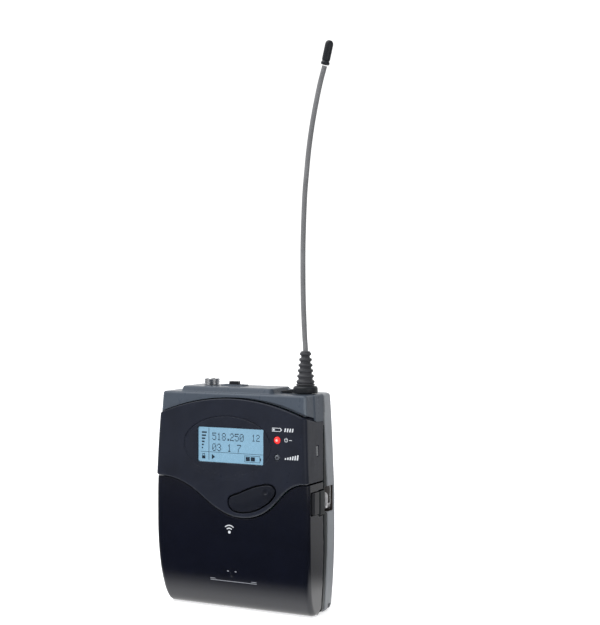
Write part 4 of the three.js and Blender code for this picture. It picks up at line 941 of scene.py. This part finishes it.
# ------------------------------------------------------------------ battery tray
def f_tray(x, y, z):
    ax = np.abs(x)
    d = rbox(x, y, z, -27.9, 27.9, 7.0, 7.9, 4.4, 35.6, 0.25)
    d = rmin(d, rbox(ax, y, z, 27.0, 27.9, -5.4, 7.5, 5.2, 35.6, 0.2), 0.2)
    d = rmin(d, rbox(x, y, z, -26.7, 26.7, -7.4, 7.5, 34.6, 35.6, 0.2), 0.2)
    d = rmin(d, rbox(x, y, z, -25.9, -12.2, -8.4, -7, 34.7, 35.6, 0.2), 0.15)
    deck = rmax(rmax(span(x, -25.9, -12.2), np.maximum(34.7 - z, wave_dist(x, z) + 1.25), 0.4), span(y, -8.4, -7.4), 0.2)
    d = rmin(d, deck, 0.2)
    # ribs that hold the cells
    for k in (-15.0, 0.0, 15.0):
        d = rmin(d, rbox(x, y, z, k - 0.5, k + 0.5, 4.4, 7.6, 5.5, 34.5, 0.2), 0.3)
    for cy, cz, _ in CELLS.values():
        d = rmax(d, -np.maximum(rod(y, z, cy, cz, CELL_R + 0.3), ax - 26.95), 0.2)
    d = rmax(d, -np.maximum(rod(x, z, -22.6, 39.6, 2.5), y + 5), 0.15)
    d = rmax(d, -np.maximum(rect(x, z, ROCK[0] - 2.5, ROCK[0] + 2.5, ROCK[2] - 3.0, ROCK[2] + 3.0, 0.6), y + 5), 0.15)
    for sx, sz in SCREWS[:2]:
        d = rmax(d, -(rod(x, z, sx, sz, 1.2) + 0 * y), 0.1)
    return d


add("battery_tray_moulding", field_mesh("battery_tray_moulding", f_tray, (-28.1, -8.6, 4.2), (28.1, 8.1, 47.6), 0.27, 0.35), "case", "black", "battery_tray")

# polarity marks in the bay: plus and minus, raised
marks = []
for cy, cz, s in CELLS.values():
    for side, plus in ((s, True), (-s, False)):
        cx = side * 21.5
        y0 = 6.62 if abs(cz - 26.4) > 1 else 6.62
        marks.append((cx - 1.3, cx + 1.3, 6.8, 7.05, 19.1 + (3.0 if cz > 20 else -1.6) - 0.28, 19.1 + (3.0 if cz > 20 else -1.6) + 0.28))
        if plus:
            zc = 19.1 + (3.0 if cz > 20 else -1.6)
            marks.append((cx - 0.28, cx + 0.28, 6.79, 7.04, zc - 1.3, zc + 1.3))
add("polarity_marks", slabs("polarity_marks", marks, 0.05), "case", "print_dim")

# ------------------------------------------------------------------ cells, springs and plates
for key, (cy, cz, s) in CELLS.items():
    L, R = CELL_L / 2, CELL_R
    body = [(0, -L), (4.6, -L), (4.9, -L + 0.12), (5.2, -L), (R - 0.75, -L), (R - 0.25, -L + 0.12), (R - 0.05, -L + 0.4), (R, -L + 0.75), (R, L - 0.8), (R - 0.1, L - 0.4), (R - 0.4, L - 0.1), (R - 0.8, L),
            (4.4, L), (4.0, L - 0.25), (3.0, L - 0.25), (2.8, L - 0.05), (2.75, L + CELL_NUB - 0.35), (2.6, L + CELL_NUB - 0.1), (2.3, L + CELL_NUB), (0, L + CELL_NUB)]
    me = lathe(body, 72, (0, cy, cz), (s, 0, 0), 30, f"cell_{key}_can")
    o = add(f"cell_{key}_can", me, "case", "sleeve", f"cell_{key}")
    me.materials.append(MAT["nickel"])
    for p in me.polygons:
        c = p.center * 1000
        r = math.hypot(c.y - cy, c.z - cz)
        if abs(c.x) > L - 0.35 and r < R - 0.5:
            p.material_index = 1
    wire, turns, n = [], 2.5, 60
    for i in range(n + 1):
        t = i / n
        a, r = t * turns * 2 * math.pi, 3.4 - 1.3 * t
        wire.append([-s * (26.55 - 1.2 * t), cy + r * math.cos(a), cz + r * math.sin(a)])
    add(f"contact_spring_{key}_wire", tube(wire, 0.27, 10, f"contact_spring_{key}_wire"), "case", "nickel", f"contact_spring_{key}")
    keep(f"contact_plate_{key}", "nickel", 0.08)

# ------------------------------------------------------------------ hinge pin, screws, plate, contacts
add("hinge_pin_rod", lathe([(0, -27.6), (PIN_R - 0.15, -27.6), (PIN_R, -27.4), (PIN_R, 27.4), (PIN_R - 0.15, 27.6), (0, 27.6)], 32, (0, HINGE_Y, HINGE_Z), (1, 0, 0), 30, "hinge_pin_rod"), "case", "steel", "cover_hinge_pin")


def f_screw(x, y, z):
    r = np.hypot(x, z)
    d = rmax(r - 1.85, np.maximum(10.4 - y, y - (11.55 - 0.05 * r * r)), 0.18)
    shaft = 0.85 + 0.12 * np.abs(((y * 1.6) % 1.0) * 2 - 1)
    d = np.minimum(d, np.maximum(r - shaft, np.maximum(7.0 - y, y - 10.8)))
    w = 0.26 + 0.12 * smooth(10.7, 11.6, y)
    cross = np.minimum(np.maximum(np.abs(x) - 1.15, np.abs(z) - w), np.maximum(np.abs(z) - 1.15, np.abs(x) - w))
    return rmax(d, -np.maximum(cross, 10.85 - y), 0.06)


screw = field_mesh("rear_screw", f_screw, (-1.95, 6.9, -1.95), (1.95, 11.7, 1.95), 0.09, 0.4)
for i, (sx, sz) in enumerate(SCREWS):
    me = screw.copy()
    n = np.zeros(len(me.loops) * 3, np.float32)
    me.transform(Matrix.Translation((sx * 0.001, 0, sz * 0.001)) @ Matrix.Identity(4))
    add(f"rear_screw_{i + 1}_head", me, "case", "steel", f"rear_screw_{i + 1}")


def f_plate(x, y, z):
    d = rmax(rect(x, z, -14.7, 14.7, 48.3, 67.7, 1.1), span(y, 11.63, 11.95), 0.05)
    frame_line = np.abs(rect(x, z, -13.6, 13.6, 49.4, 66.6, 0.8)) - 0.12
    return np.maximum(d, -np.maximum(frame_line, 11.86 - y))


add("type_plate_blank", field_mesh("type_plate_blank", f_plate, (-14.8, 11.6, 48.2), (14.8, 12.0, 67.8), 0.1, 0.12), "case", "plate", "type_plate")
# generic pictograms on the plate: a bin-free set of plain panel marks, no lettering
rows = []
for k in range(5):
    rows.append((-11.5, 11.5 - (k % 3) * 4.5, 11.93, 11.97, 62.2 - 2.1 * k, 62.42 - 2.1 * k))
rows += [(-11.5, -6.5, 11.93, 11.97, 51.2, 51.4), (-4.5, -0.5, 11.93, 11.97, 51.2, 51.4)]
add("type_plate_rules", slabs("type_plate_rules", rows), "case", "print_dim")
for side in ("left", "right"):
    keep(f"charge_contact_{side}", "nickel", 0.1)

# ------------------------------------------------------------------ belt clip
def clip_half(s):
    y, z, lx, ly = CLIP_Y, CLIP_Z, 25.2, 17.6
    return [(s * 27.3, y, z), (s * 29.2, y, z), (s * 30.5, y, z - 0.02), (s * 30.95, y, z - 0.25), (s * 31.18, y, z - 0.75), (s * 31.2, y, z - 1.6), (s * 31.2, y, z - 3.2), (s * 31.18, y + 0.1, z - 3.9), (s * 31.0, y + 0.5, z - 4.5), (s * 30.25, 4.9, z - 4.75), (s * 29.9, 6.6, z - 4.8),
            (s * 29.9, 10.2, z - 4.9), (s * 29.85, 11.7, z - 5.0), (s * 28.95, 13.6, z - 5.7), (s * 27.4, 15.5, z - 7.2), (s * 26.0, 16.9, z - 9.6), (s * (lx + 0.15), ly - 0.1, z - 12.9), (s * lx, ly, 27), (s * (lx - 0.3), ly - 0.4, 18),
            (s * (lx - 1.4), ly - 0.9, 11.5), (s * (lx - 4.6), ly - 0.4, 7.6), (s * (lx - 9.5), ly + 0.4, 6.5)]


clip_path = path_points(clip_half(-1) + clip_half(1)[::-1], 7)
add("belt_clip_wire", tube(clip_path, 0.8, 20, "belt_clip_wire"), "belt_clip", "clip", "belt_clip")

# ------------------------------------------------------------------ window, display and lamps
w0, w1, wz0, wz1 = WINDOW


def f_lens(x, y, z):
    return rmax(rect(x, z, w0 + 0.04, w1 - 0.04, wz0 + 0.04, wz1 - 0.04, 0.5), span(y, -11.95, -11.3), 0.08)


add("window_pane", field_mesh("window_pane", f_lens, (w0, -12, wz0), (w1, -11.25, wz1), 0.12, 0.1), "case", "lens", "window_lens")


def f_gasket(x, y, z):
    d = rect(x, z, w0 - 1.9, w1 + 1.9, wz0 - 1.9, wz1 + 1.9, 1.0)
    return rmax(rmax(d, -rect(x, z, w0 - 1.1, w1 + 1.1, wz0 - 1.1, wz1 + 1.1, 0.5), 0.1), span(y, -10.75, -10.1), 0.12)


add("gasket_ring", field_mesh("gasket_ring", f_gasket, (w0 - 2, -10.8, wz0 - 2), (w1 + 2, -10.0, wz1 + 2), 0.14, 0.4), "case", "rubber", "window_gasket")


def f_lcd(x, y, z):
    return rmax(rect(x, z, w0 - 1, w1 + 1, wz0 - 1, wz1 + 1, 0.3), span(y, -10.7, -8.6), 0.08)


add("lcd_glass_cell", field_mesh("lcd_glass_cell", f_lcd, (w0 - 1.1, -10.8, wz0 - 1.1), (w1 + 1.1, -8.5, wz1 + 1.1), 0.2, 0.15), "case", "lcd", "lcd_glass")
keep("lcd_frame", "black", 0.1)
keep("backlight_diffuser", "diffuser", 0.1)

FONT = {
    "0": "01110 10001 10011 10101 11001 10001 01110", "1": "00100 01100 00100 00100 00100 00100 01110", "2": "01110 10001 00001 00110 01000 10000 11111",
    "3": "01110 10001 00001 00110 00001 10001 01110", "4": "00010 00110 01010 10010 11111 00010 00010", "5": "11111 10000 11110 00001 00001 10001 01110",
    "6": "00110 01000 10000 11110 10001 10001 01110", "7": "11111 00001 00010 00100 01000 01000 01000", "8": "01110 10001 10001 01110 10001 10001 01110",
    "9": "01110 10001 10001 01111 00001 00010 01100", ".": "00000 00000 00000 00000 00000 01100 01100", " ": "00000 " * 7,
}
LY0, LY1 = -10.745, -10.69


def dots(text, x, z, px, pz):
    out = []
    for ch in text:
        for r, row in enumerate(FONT[ch].split()):
            for c, bit in enumerate(row):
                if bit == "1":
                    out.append((x + c * px, x + c * px + px * 0.86, LY0, LY1, z - (r + 1) * pz, z - (r + 1) * pz + pz * 0.86))
        x += (4.0 if ch == "." else 6.0) * px
    return out


ink = dots("518.250", -8.2, 65.3, 0.34, 0.4)
ink += dots("12", 8.4, 65.3, 0.3, 0.36)
ink += dots("03", -8.2, 61.3, 0.34, 0.4) + dots("1 7", -1.8, 61.3, 0.34, 0.4)
ink += [(-9.75, -9.55, LY0, LY1, 55.2, 66.8), (w0 + 0.5, w1 - 0.5, LY0, LY1, 58.02, 58.16)]
for k in range(6):  # level meter in the left column
    ink.append((-12.7, -12.7 + 0.5 + 0.32 * k, LY0, LY1, 59.2 + 1.15 * k, 59.75 + 1.15 * k))
ink += [(-12.6, -11.2, LY0, LY1, 55.5, 56.6), (-12.4, -12.2, LY0, LY1, 56.6, 57.2), (-11.6, -11.4, LY0, LY1, 56.6, 57.2), (-12.4, -11.4, LY0, LY1, 57.2, 57.4)]
for k in range(5):  # small pointer
    ink.append((-8.4 + 0.25 * k, -8.15 + 0.25 * k, LY0, LY1, 55.45 + 0.18 * k, 57.25 - 0.18 * k))
bx = 5.4  # battery gauge
ink += [(bx, bx + 6.4, LY0, LY1, 57.35, 57.5), (bx, bx + 6.4, LY0, LY1, 55.1, 55.25), (bx, bx + 0.15, LY0, LY1, 55.1, 57.5), (bx + 6.25, bx + 6.4, LY0, LY1, 55.1, 57.5), (bx + 6.4, bx + 6.8, LY0, LY1, 55.8, 56.8)]
ink += [(bx + 0.5, bx + 2.2, LY0, LY1, 55.55, 57.05), (bx + 2.6, bx + 4.3, LY0, LY1, 55.55, 57.05)]
add("lcd_segments", slabs("lcd_segments", ink), "case", "segment")

for i, (lx, lz, r) in enumerate(LEDS):
    y = float(PANEL(np.array(lz)))
    prof = [(0, 6.9), (r + 0.5, 6.9), (r + 0.5, 8.15), (r + 0.42, 8.25), (r, 8.25), (r, y - 0.5), (r * 0.97, y - 0.22), (r * 0.86, y + 0.02), (r * 0.66, y + 0.18), (r * 0.38, y + 0.29), (0, y + 0.33)]
    node, m, sl = (("led_power", "led_red", "led_red"), ("led_peak", "led_grey", "led_grey"))[i]
    add(node + "_dome", lathe(prof, 40, (lx, 0, lz), (0, -1, 0), 50, node + "_dome"), "case", m, node)
    # the die that shows through the dome
    yy = y + 0.335
    add(node + "_die", lathe([(0, yy - 0.05), (r * 0.36, yy - 0.05), (r * 0.36, yy - 0.02), (r * 0.2, yy + 0.01), (0, yy + 0.02)], 24, (lx + 0.05, 0, lz), (0, -1, 0), 50, node + "_die"), "case", "led_core" if i == 0 else "led_dark")


def f_ir(x, y, z):
    face = HALF_WIDTH(z) - 0.12
    return rmax(rect(y, z, -4.3, -2.7, 58.0, 61.6, 0.25), np.maximum(29.95 - x, x - face), 0.12)


add("ir_window_pane", field_mesh("ir_window_pane", f_ir, (29.8, -4.4, 57.9), (31.4, -2.6, 61.7), 0.12, 0.4), "case", "ir", "ir_window")


# ------------------------------------------------------------------ printed pictograms
def on_front(curve, items, lift=0.025, sink=0.06):
    """Lays (x0, x1, z0, z1, slant) bars on a front face."""
    out = []
    for it in items:
        x0, x1, z0, z1 = it[:4]
        k = it[4] if len(it) > 4 else 0.0
        c = []
        for z in (z0, z1):
            y = -float(curve(np.array(z)))
            sh = k * (z - z0)
            c += [(x0 + sh, y - lift, z), (x1 + sh, y - lift, z), (x1 + sh, y + sink, z), (x0 + sh, y + sink, z)]
        out.append(c)
    return out


bars = []
# battery sign with a low mark and three cells
bars += [(17.6, 21.2, 68.15, 68.33), (17.6, 21.2, 67.0, 67.18), (17.6, 17.78, 67.0, 68.33), (21.02, 21.2, 67.0, 68.33), (21.2, 21.5, 67.4, 67.9), (18.0, 18.6, 67.32, 68.0)]
bars += [(22.5, 23.0, 67.0, 68.3, 0.2), (23.5, 24.0, 67.0, 68.3, 0.2), (24.5, 25.0, 67.0, 68.3, 0.2), (25.5, 26.0, 67.0, 68.3, 0.2)]
# level sign beside the lower lamp: rising bars and a peak tick
bars += [(22.9 + 0.95 * k, 23.45 + 0.95 * k, 57.2, 57.75 + 0.26 * k, 0.15) for k in range(6)]
marks = on_front(PANEL, bars)
yp = -float(PANEL(np.array(64.1)))
marks += ring_flat(23.35, 64.1, 0.52, 0.72, yp - 0.03, yp + 0.06, 120, 420, 20)
marks += [(23.26, 23.44, yp - 0.03, yp + 0.06, 64.1, 64.95)]
marks += [(24.6, 25.7, yp - 0.03, yp + 0.06, 64.0, 64.2)]
add("panel_print", slabs("panel_print", marks), "case", "print")

# cover: a plain wireless sign and a pinstripe
cm = []
cxx, czz = -0.3, 29.4
yc = -float(COVER(np.array(30.5)))
cm += ring_flat(cxx, czz, 0.0, 0.55, yc - 0.03, yc + 0.1, 0, 360, 16)
cm += ring_flat(cxx, czz, 1.25, 1.62, yc - 0.03, yc + 0.1, 45, 135, 12)
cm += ring_flat(cxx, czz, 2.3, 2.67, yc - 0.03, yc + 0.1, 45, 135, 16)
add("cover_sign", slabs("cover_sign", cm), "battery_cover", "print")
cm = on_front(COVER, [(-9.4, 10.0, 10.9, 11.12), (-9.4, -7.2, 11.5, 11.72), (7.8, 10.0, 11.5, 11.72)], 0.03, 0.12)
cm += on_front(COVER, [(-1.9 + 1.6 * k, -1.2 + 1.6 * k, 14.7, 15.1) for k in range(3)], 0.03, 0.12)
add("cover_pinstripe", slabs("cover_pinstripe", cm), "battery_cover", "print_dim")


# ------------------------------------------------------------------ jack and mute slider
def f_collar(x, y, z):
    u, v = x - JACK[0], y - JACK[1]
    r = np.hypot(u, v)
    a = np.arctan2(v, u)
    thread = 0.12 * np.abs((((z * 1.7) + a / (2 * math.pi)) % 1.0) * 2 - 1)
    d = rmax(r - JACK[2] + thread * (z < 84.0), span(z, 74.5, JACK[4]), 0.25)
    d = rmax(d, JACK[3] - r, 0.2)
    # spanner slots in the rim
    for k in range(3):
        t = math.pi * (k / 3 + 0.12)
        c = np.abs(u * math.sin(t) - v * math.cos(t)) - 0.6
        d = rmax(d, -np.maximum(c, 82.4 - z), 0.1)
    return d


add("jack_collar_ring", field_mesh("jack_collar_ring", f_collar, (-18.2, -2.7, 74.3), (-12.0, 3.5, 84.6), 0.13, 0.45), "case", "chrome", "jack_collar")
keep("jack_body", "black", 0.25)


def f_knob(x, y, z):
    u, v = x - MUTE[0], y - MUTE[1]
    d = rbox(u, v, z, -1.85, 1.85, -1.12, 1.12, 80.6, 83.6, 0.22)
    for k in (-1.1, -0.37, 0.37, 1.1):
        d = rmax(d, -(rod(u, z, k, 83.68, 0.27) + 0 * v), 0.06)
    return rmin(d, rbox(u, v, z, -0.8, 0.8, -0.6, 0.6, 77.2, 81, 0.1), 0.15)


add("mute_slider_knob", field_mesh("mute_slider_knob", f_knob, (-7.2, -0.9, 77), (-3.2, 1.7, 83.8), 0.11, 0.45), "mute_slider", "slider", "mute_slider")
keep("mute_switch_body", "black", 0.2)

# ------------------------------------------------------------------ antenna
base = [(0, 74.6), (2.1, 74.6), (2.25, 74.75), (2.25, 80.1), (2.5, 80.2), (4.25, 80.2), (4.42, 80.28), (4.5, 80.5), (4.5, 81.9), (4.4, 82.25), (4.1, 82.6), (3.7, 82.78), (3.2, 82.8), (0, 82.8)]
add("antenna_base_flange", lathe(base, 72, (AX, AY, 0), (0, 0, 1), 40, "antenna_base_flange"), "case", "flange", "antenna_base")
prof = [(1.3, 83.0), (3.2, 83.0), (3.4, 83.1), (3.45, 83.35)]
zs = [84.3, 86.3, 88.3, 90.3, 92.3, 94.4]
for i, z in enumerate(zs):
    t = i / 5
    R, core = 3.35 - 1.2 * t, 2.62 - 1.3 * t
    for a in range(9):
        k = math.pi * (a / 8 - 0.5)
        prof.append((R - 0.42 + 0.42 * math.cos(k) - 0.0 * a, z + 0.56 * math.sin(k)))
    if i < 5:
        for a in (0.78, 1.0, 1.22):
            prof.append((core + 0.06 * abs(a - 1) * 4, z + a))
prof += [(1.75, 95.15), (1.6, 95.35), (1.3, 95.4), (1.1, 95.35)]
add("antenna_boot_ribbed", lathe(prof, 64, (AX, AY, 0), (0, 0, 1), 60, "antenna_boot_ribbed"), "case", "boot", "antenna_boot")
whip = [(0, 83.2), (0, 95.4), (-0.35, 101.3), (-0.9, 114), (-1.05, 128), (-0.9, 138), (-0.35, 151.5), (0.5, 161), (1.35, 168.8), (2.55, 176.7), (4.1, 184.6), (5.95, 192.5), (7.75, 198.6)]
wp = path_points([(AX + dx, AY, z) for dx, z in whip], 10)
add("antenna_whip_sleeve", tube(wp, 0.93, 24, "antenna_whip_sleeve", round_end=False), "case", "whip", "antenna_whip")
c0 = Vector((AX + 7.75, AY, 198.6))
c1 = Vector((AX + 9.9, AY, 207.6))
L = (c1 - c0).length
cap = [(0, 0.35), (1.05, 0.35), (1.3, 0.4), (1.55, 0.65), (1.6, 1.0), (1.55, 1.35), (1.4, 1.55), (1.28, 1.7), (1.28, 1.85), (1.42, 2.0), (1.5, 2.4), (1.5, L - 1.5), (1.42, L - 0.95), (1.2, L - 0.45), (0.85, L - 0.1), (0.42, L + 0.06), (0, L + 0.1)]
add("antenna_tip_cap", lathe(cap, 48, c0, (c1 - c0), 50, "antenna_tip_cap"), "case", "flange", "antenna_cap")


def f_web(x, y, z):
    t = np.clip((x - 14.2) / 6.6, 0, 1)
    top, low = 80.5 + 1.1 * t, 79.6 + 0.55 * t
    d = rmax(np.maximum(z - top, low - z), np.abs(y + 0.6) - (0.9 - 0.2 * t), 0.25)
    return rmax(d, span(x, 14.0, 20.9), 0.2)


add("antenna_web", field_mesh("antenna_web", f_web, (13.9, -1.6, 79.4), (21.0, 0.4, 81.8), 0.12, 0.5), "case", "flange")
keep("antenna_nut", "nickel", 0.25)
keep("antenna_contact", "nickel", 0.06)

# ------------------------------------------------------------------ boards and what they carry
keep("display_board", "board", 0.06)
keep("main_board", "board", 0.06)
keep("key_board", "board", 0.06)
keep("rf_shield", "nickel", 0.3)
keep("power_switch", "black", 0.25)

chips = [(-22, -14, 7.7, 8.55, 50, 58), (-22.5, -18, 7.9, 8.55, 61, 65.5), (-12, -9.6, 8.0, 8.55, 22, 30), (6, 13, 7.8, 8.55, 20, 27)]
for s in range(7):
    chips.append((-22.4 + 1.2 * s, -21.7 + 1.2 * s, 8.1, 8.56, 59.0, 59.5))
add("board_chips", slabs("board_chips", chips, 0.12), "case", "chip")
small = []
for k in range(16):
    cx = -19 + 2.4 * k
    small.append((cx, cx + 0.9, 8.15, 8.56, 69.1, 69.6))
    if abs(cx + 5) > 4:
        small.append((cx, cx + 0.5, 8.15, 8.56, 16.0, 17.0))
add("board_ceramics", slabs("board_ceramics", small, 0.08), "case", "ceramic")


# ------------------------------------------------------------------ floor, light, camera
AWAY = (-math.sin(math.radians(27)), math.cos(math.radians(27)), 0.0)


def ramp_of(nt, vector, axis, stops):
    """A grey value from the angle between a direction and an axis. stops: (cosine, value 0 to 1)."""
    d = nt.nodes.new("ShaderNodeVectorMath")
    d.operation = "DOT_PRODUCT"
    d.inputs[1].default_value = axis
    nt.links.new(vector, d.inputs[0])
    m = nt.nodes.new("ShaderNodeMapRange")
    m.inputs["From Min"].default_value, m.inputs["From Max"].default_value = -1, 1
    nt.links.new(d.outputs["Value"], m.inputs["Value"])
    return ramp(nt, m.outputs[0], [((c + 1) / 2, (v, v, v)) for c, v in stops])


def math_node(nt, op, a, b):
    m = nt.nodes.new("ShaderNodeMath")
    m.operation = op
    for i, v in enumerate((a, b)):
        if isinstance(v, (int, float)):
            m.inputs[i].default_value = v
        else:
            nt.links.new(v, m.inputs[i])
    return m.outputs[0]


HORIZON = [(-1, 0.035), (-0.2, 0.035), (0.3, 0.3), (0.58, 0.55), (0.8, 0.75), (0.96, 1.0)]
RIGHT = (0.87, -0.49, 0.0)
EDGE = [(-1, 0.0), (0.9, 0.0), (0.97, 0.9), (1.0, 0.9)]


def floor():
    me = make_mesh("floor", [(-4000, -4000, 0), (4000, -4000, 0), (4000, 4000, 0), (-4000, 4000, 0)], [[0, 1, 2, 3]])
    o = bpy.data.objects.new("floor", me)
    o.location.z = -0.00005
    m, nt, b, co = node_tree("pale_floor")
    slow = noise(nt, co, 3, 2)
    nt.links.new(ramp(nt, slow, [(0.3, (0.86, 0.86, 0.87)), (0.7, (0.88, 0.88, 0.885))]), b.inputs["Base Color"])
    b.inputs["Roughness"].default_value = 0.9
    b.inputs["Specular IOR Level"].default_value = 0.1
    lp = nt.nodes.new("ShaderNodeLightPath")
    b.inputs["Emission Color"].default_value = (1, 1, 1, 1)
    nt.links.new(math_node(nt, "MULTIPLY", lp.outputs["Is Camera Ray"], 0.62), b.inputs["Emission Strength"])
    # what polished parts see in it: light close by and behind, dark in front
    way = nt.nodes.new("ShaderNodeVectorMath")
    way.operation = "NORMALIZE"
    nt.links.new(co.outputs["Object"], way.inputs[0])
    far = ramp_of(nt, way.outputs["Vector"], AWAY, HORIZON)
    sep = nt.nodes.new("ShaderNodeSeparateXYZ")
    nt.links.new(co.outputs["Object"], sep.inputs[0])
    size = nt.nodes.new("ShaderNodeVectorMath")
    size.operation = "LENGTH"
    nt.links.new(co.outputs["Object"], size.inputs[0])
    near = math_node(nt, "MULTIPLY", remap(nt, sep.outputs[1], 0, 1.3, -0.026, -0.013), remap(nt, size.outputs["Value"], 1, 0, 0.05, 0.08))
    # it brightens with distance, and a light stands far off at the right
    out_there = remap(nt, size.outputs["Value"], 0, 0.36, 0.2, 0.9)
    lamp = math_node(nt, "MULTIPLY", ramp_of(nt, way.outputs["Vector"], RIGHT, EDGE), remap(nt, size.outputs["Value"], 0, 1, 0.5, 0.75))
    total = math_node(nt, "MAXIMUM", math_node(nt, "MAXIMUM", far, near), math_node(nt, "MAXIMUM", out_there, lamp))
    e = nt.nodes.new("ShaderNodeEmission")
    nt.links.new(math_node(nt, "MULTIPLY", total, 1.15), e.inputs["Strength"])
    mx = nt.nodes.new("ShaderNodeMixShader")
    nt.links.new(lp.outputs["Is Glossy Ray"], mx.inputs[0])
    nt.links.new(b.outputs[0], mx.inputs[1])
    nt.links.new(e.outputs[0], mx.inputs[2])
    out = next(n for n in nt.nodes if n.type == "OUTPUT_MATERIAL")
    nt.links.new(mx.outputs[0], out.inputs[0])
    me.materials.append(m)
    SCENE.collection.objects.link(o)
    return o


floor()

world = bpy.data.worlds.new("studio")
SCENE.world = world
world.use_nodes = True
nt = world.node_tree
nt.nodes.clear()
out = nt.nodes.new("ShaderNodeOutputWorld")
tc = nt.nodes.new("ShaderNodeTexCoord")
way = tc.outputs["Generated"]


def background(strength, tint=(1, 1, 1, 1)):
    b = nt.nodes.new("ShaderNodeBackground")
    b.inputs[0].default_value = tint
    if isinstance(strength, (int, float)):
        b.inputs[1].default_value = strength
    else:
        nt.links.new(strength, b.inputs[1])
    return b.outputs[0]


# soft light from the front, left and above for matt surfaces
key = ramp_of(nt, way, (-0.35, -0.75, 0.56), [(-1, 0.06), (-0.2, 0.08), (0.5, 0.5), (1.0, 1.0)])
matt = background(math_node(nt, "MULTIPLY", key, 2.0), (0.97, 0.985, 1.0, 1))
# and what polished surfaces see: a bright backdrop behind, dark in front, one soft box above left
box_light = ramp_of(nt, way, (-0.45, -0.45, 0.77), [(-1, 0.0), (0.8, 0.0), (0.93, 0.75), (1.0, 0.85)])
back = math_node(nt, "MAXIMUM", ramp_of(nt, way, AWAY, HORIZON), ramp_of(nt, way, RIGHT, EDGE))
gloss = background(math_node(nt, "MULTIPLY", math_node(nt, "ADD", back, box_light), 1.15))
lp = nt.nodes.new("ShaderNodeLightPath")
seen = background(1.15)
m1 = nt.nodes.new("ShaderNodeMixShader")
nt.links.new(lp.outputs["Is Glossy Ray"], m1.inputs[0])
nt.links.new(matt, m1.inputs[1])
nt.links.new(gloss, m1.inputs[2])
m2 = nt.nodes.new("ShaderNodeMixShader")
nt.links.new(lp.outputs["Is Camera Ray"], m2.inputs[0])
nt.links.new(m1.outputs[0], m2.inputs[1])
nt.links.new(seen, m2.inputs[2])
nt.links.new(m2.outputs[0], out.inputs[0])


def area(name, loc, target, size, power, colour=(1, 1, 1)):
    d = bpy.data.lights.new(name, "AREA")
    d.shape = "RECTANGLE"
    d.size, d.size_y = size
    d.energy = power
    d.color = colour
    o = bpy.data.objects.new(name, d)
    o.location = loc
    o.rotation_euler = (Vector(target) - Vector(loc)).to_track_quat("-Z", "Y").to_euler()
    SCENE.collection.objects.link(o)
    return o


area("soft_top", (-0.25, -0.15, 0.9), (0, 0, 0.05), (0.9, 0.9), 3.0)

cam_data = bpy.data.cameras.new("camera")
cam_data.sensor_width = 36
cam_data.lens = 1296 * 36 / 625
cam_data.shift_y = -15.5 / 625
cam_data.clip_start, cam_data.clip_end = 0.01, 20
cam = bpy.data.objects.new("camera", cam_data)
TH = math.radians(27)
cam.location = (483 * math.sin(TH) * 0.001 + 0.02 * math.cos(TH), -483 * math.cos(TH) * 0.001 + 0.02 * math.sin(TH), 0.1151)
cam.rotation_euler = (math.pi / 2, 0, TH)
SCENE.collection.objects.link(cam)
SCENE.camera = cam
SCENE.view_settings.view_transform = "Standard"
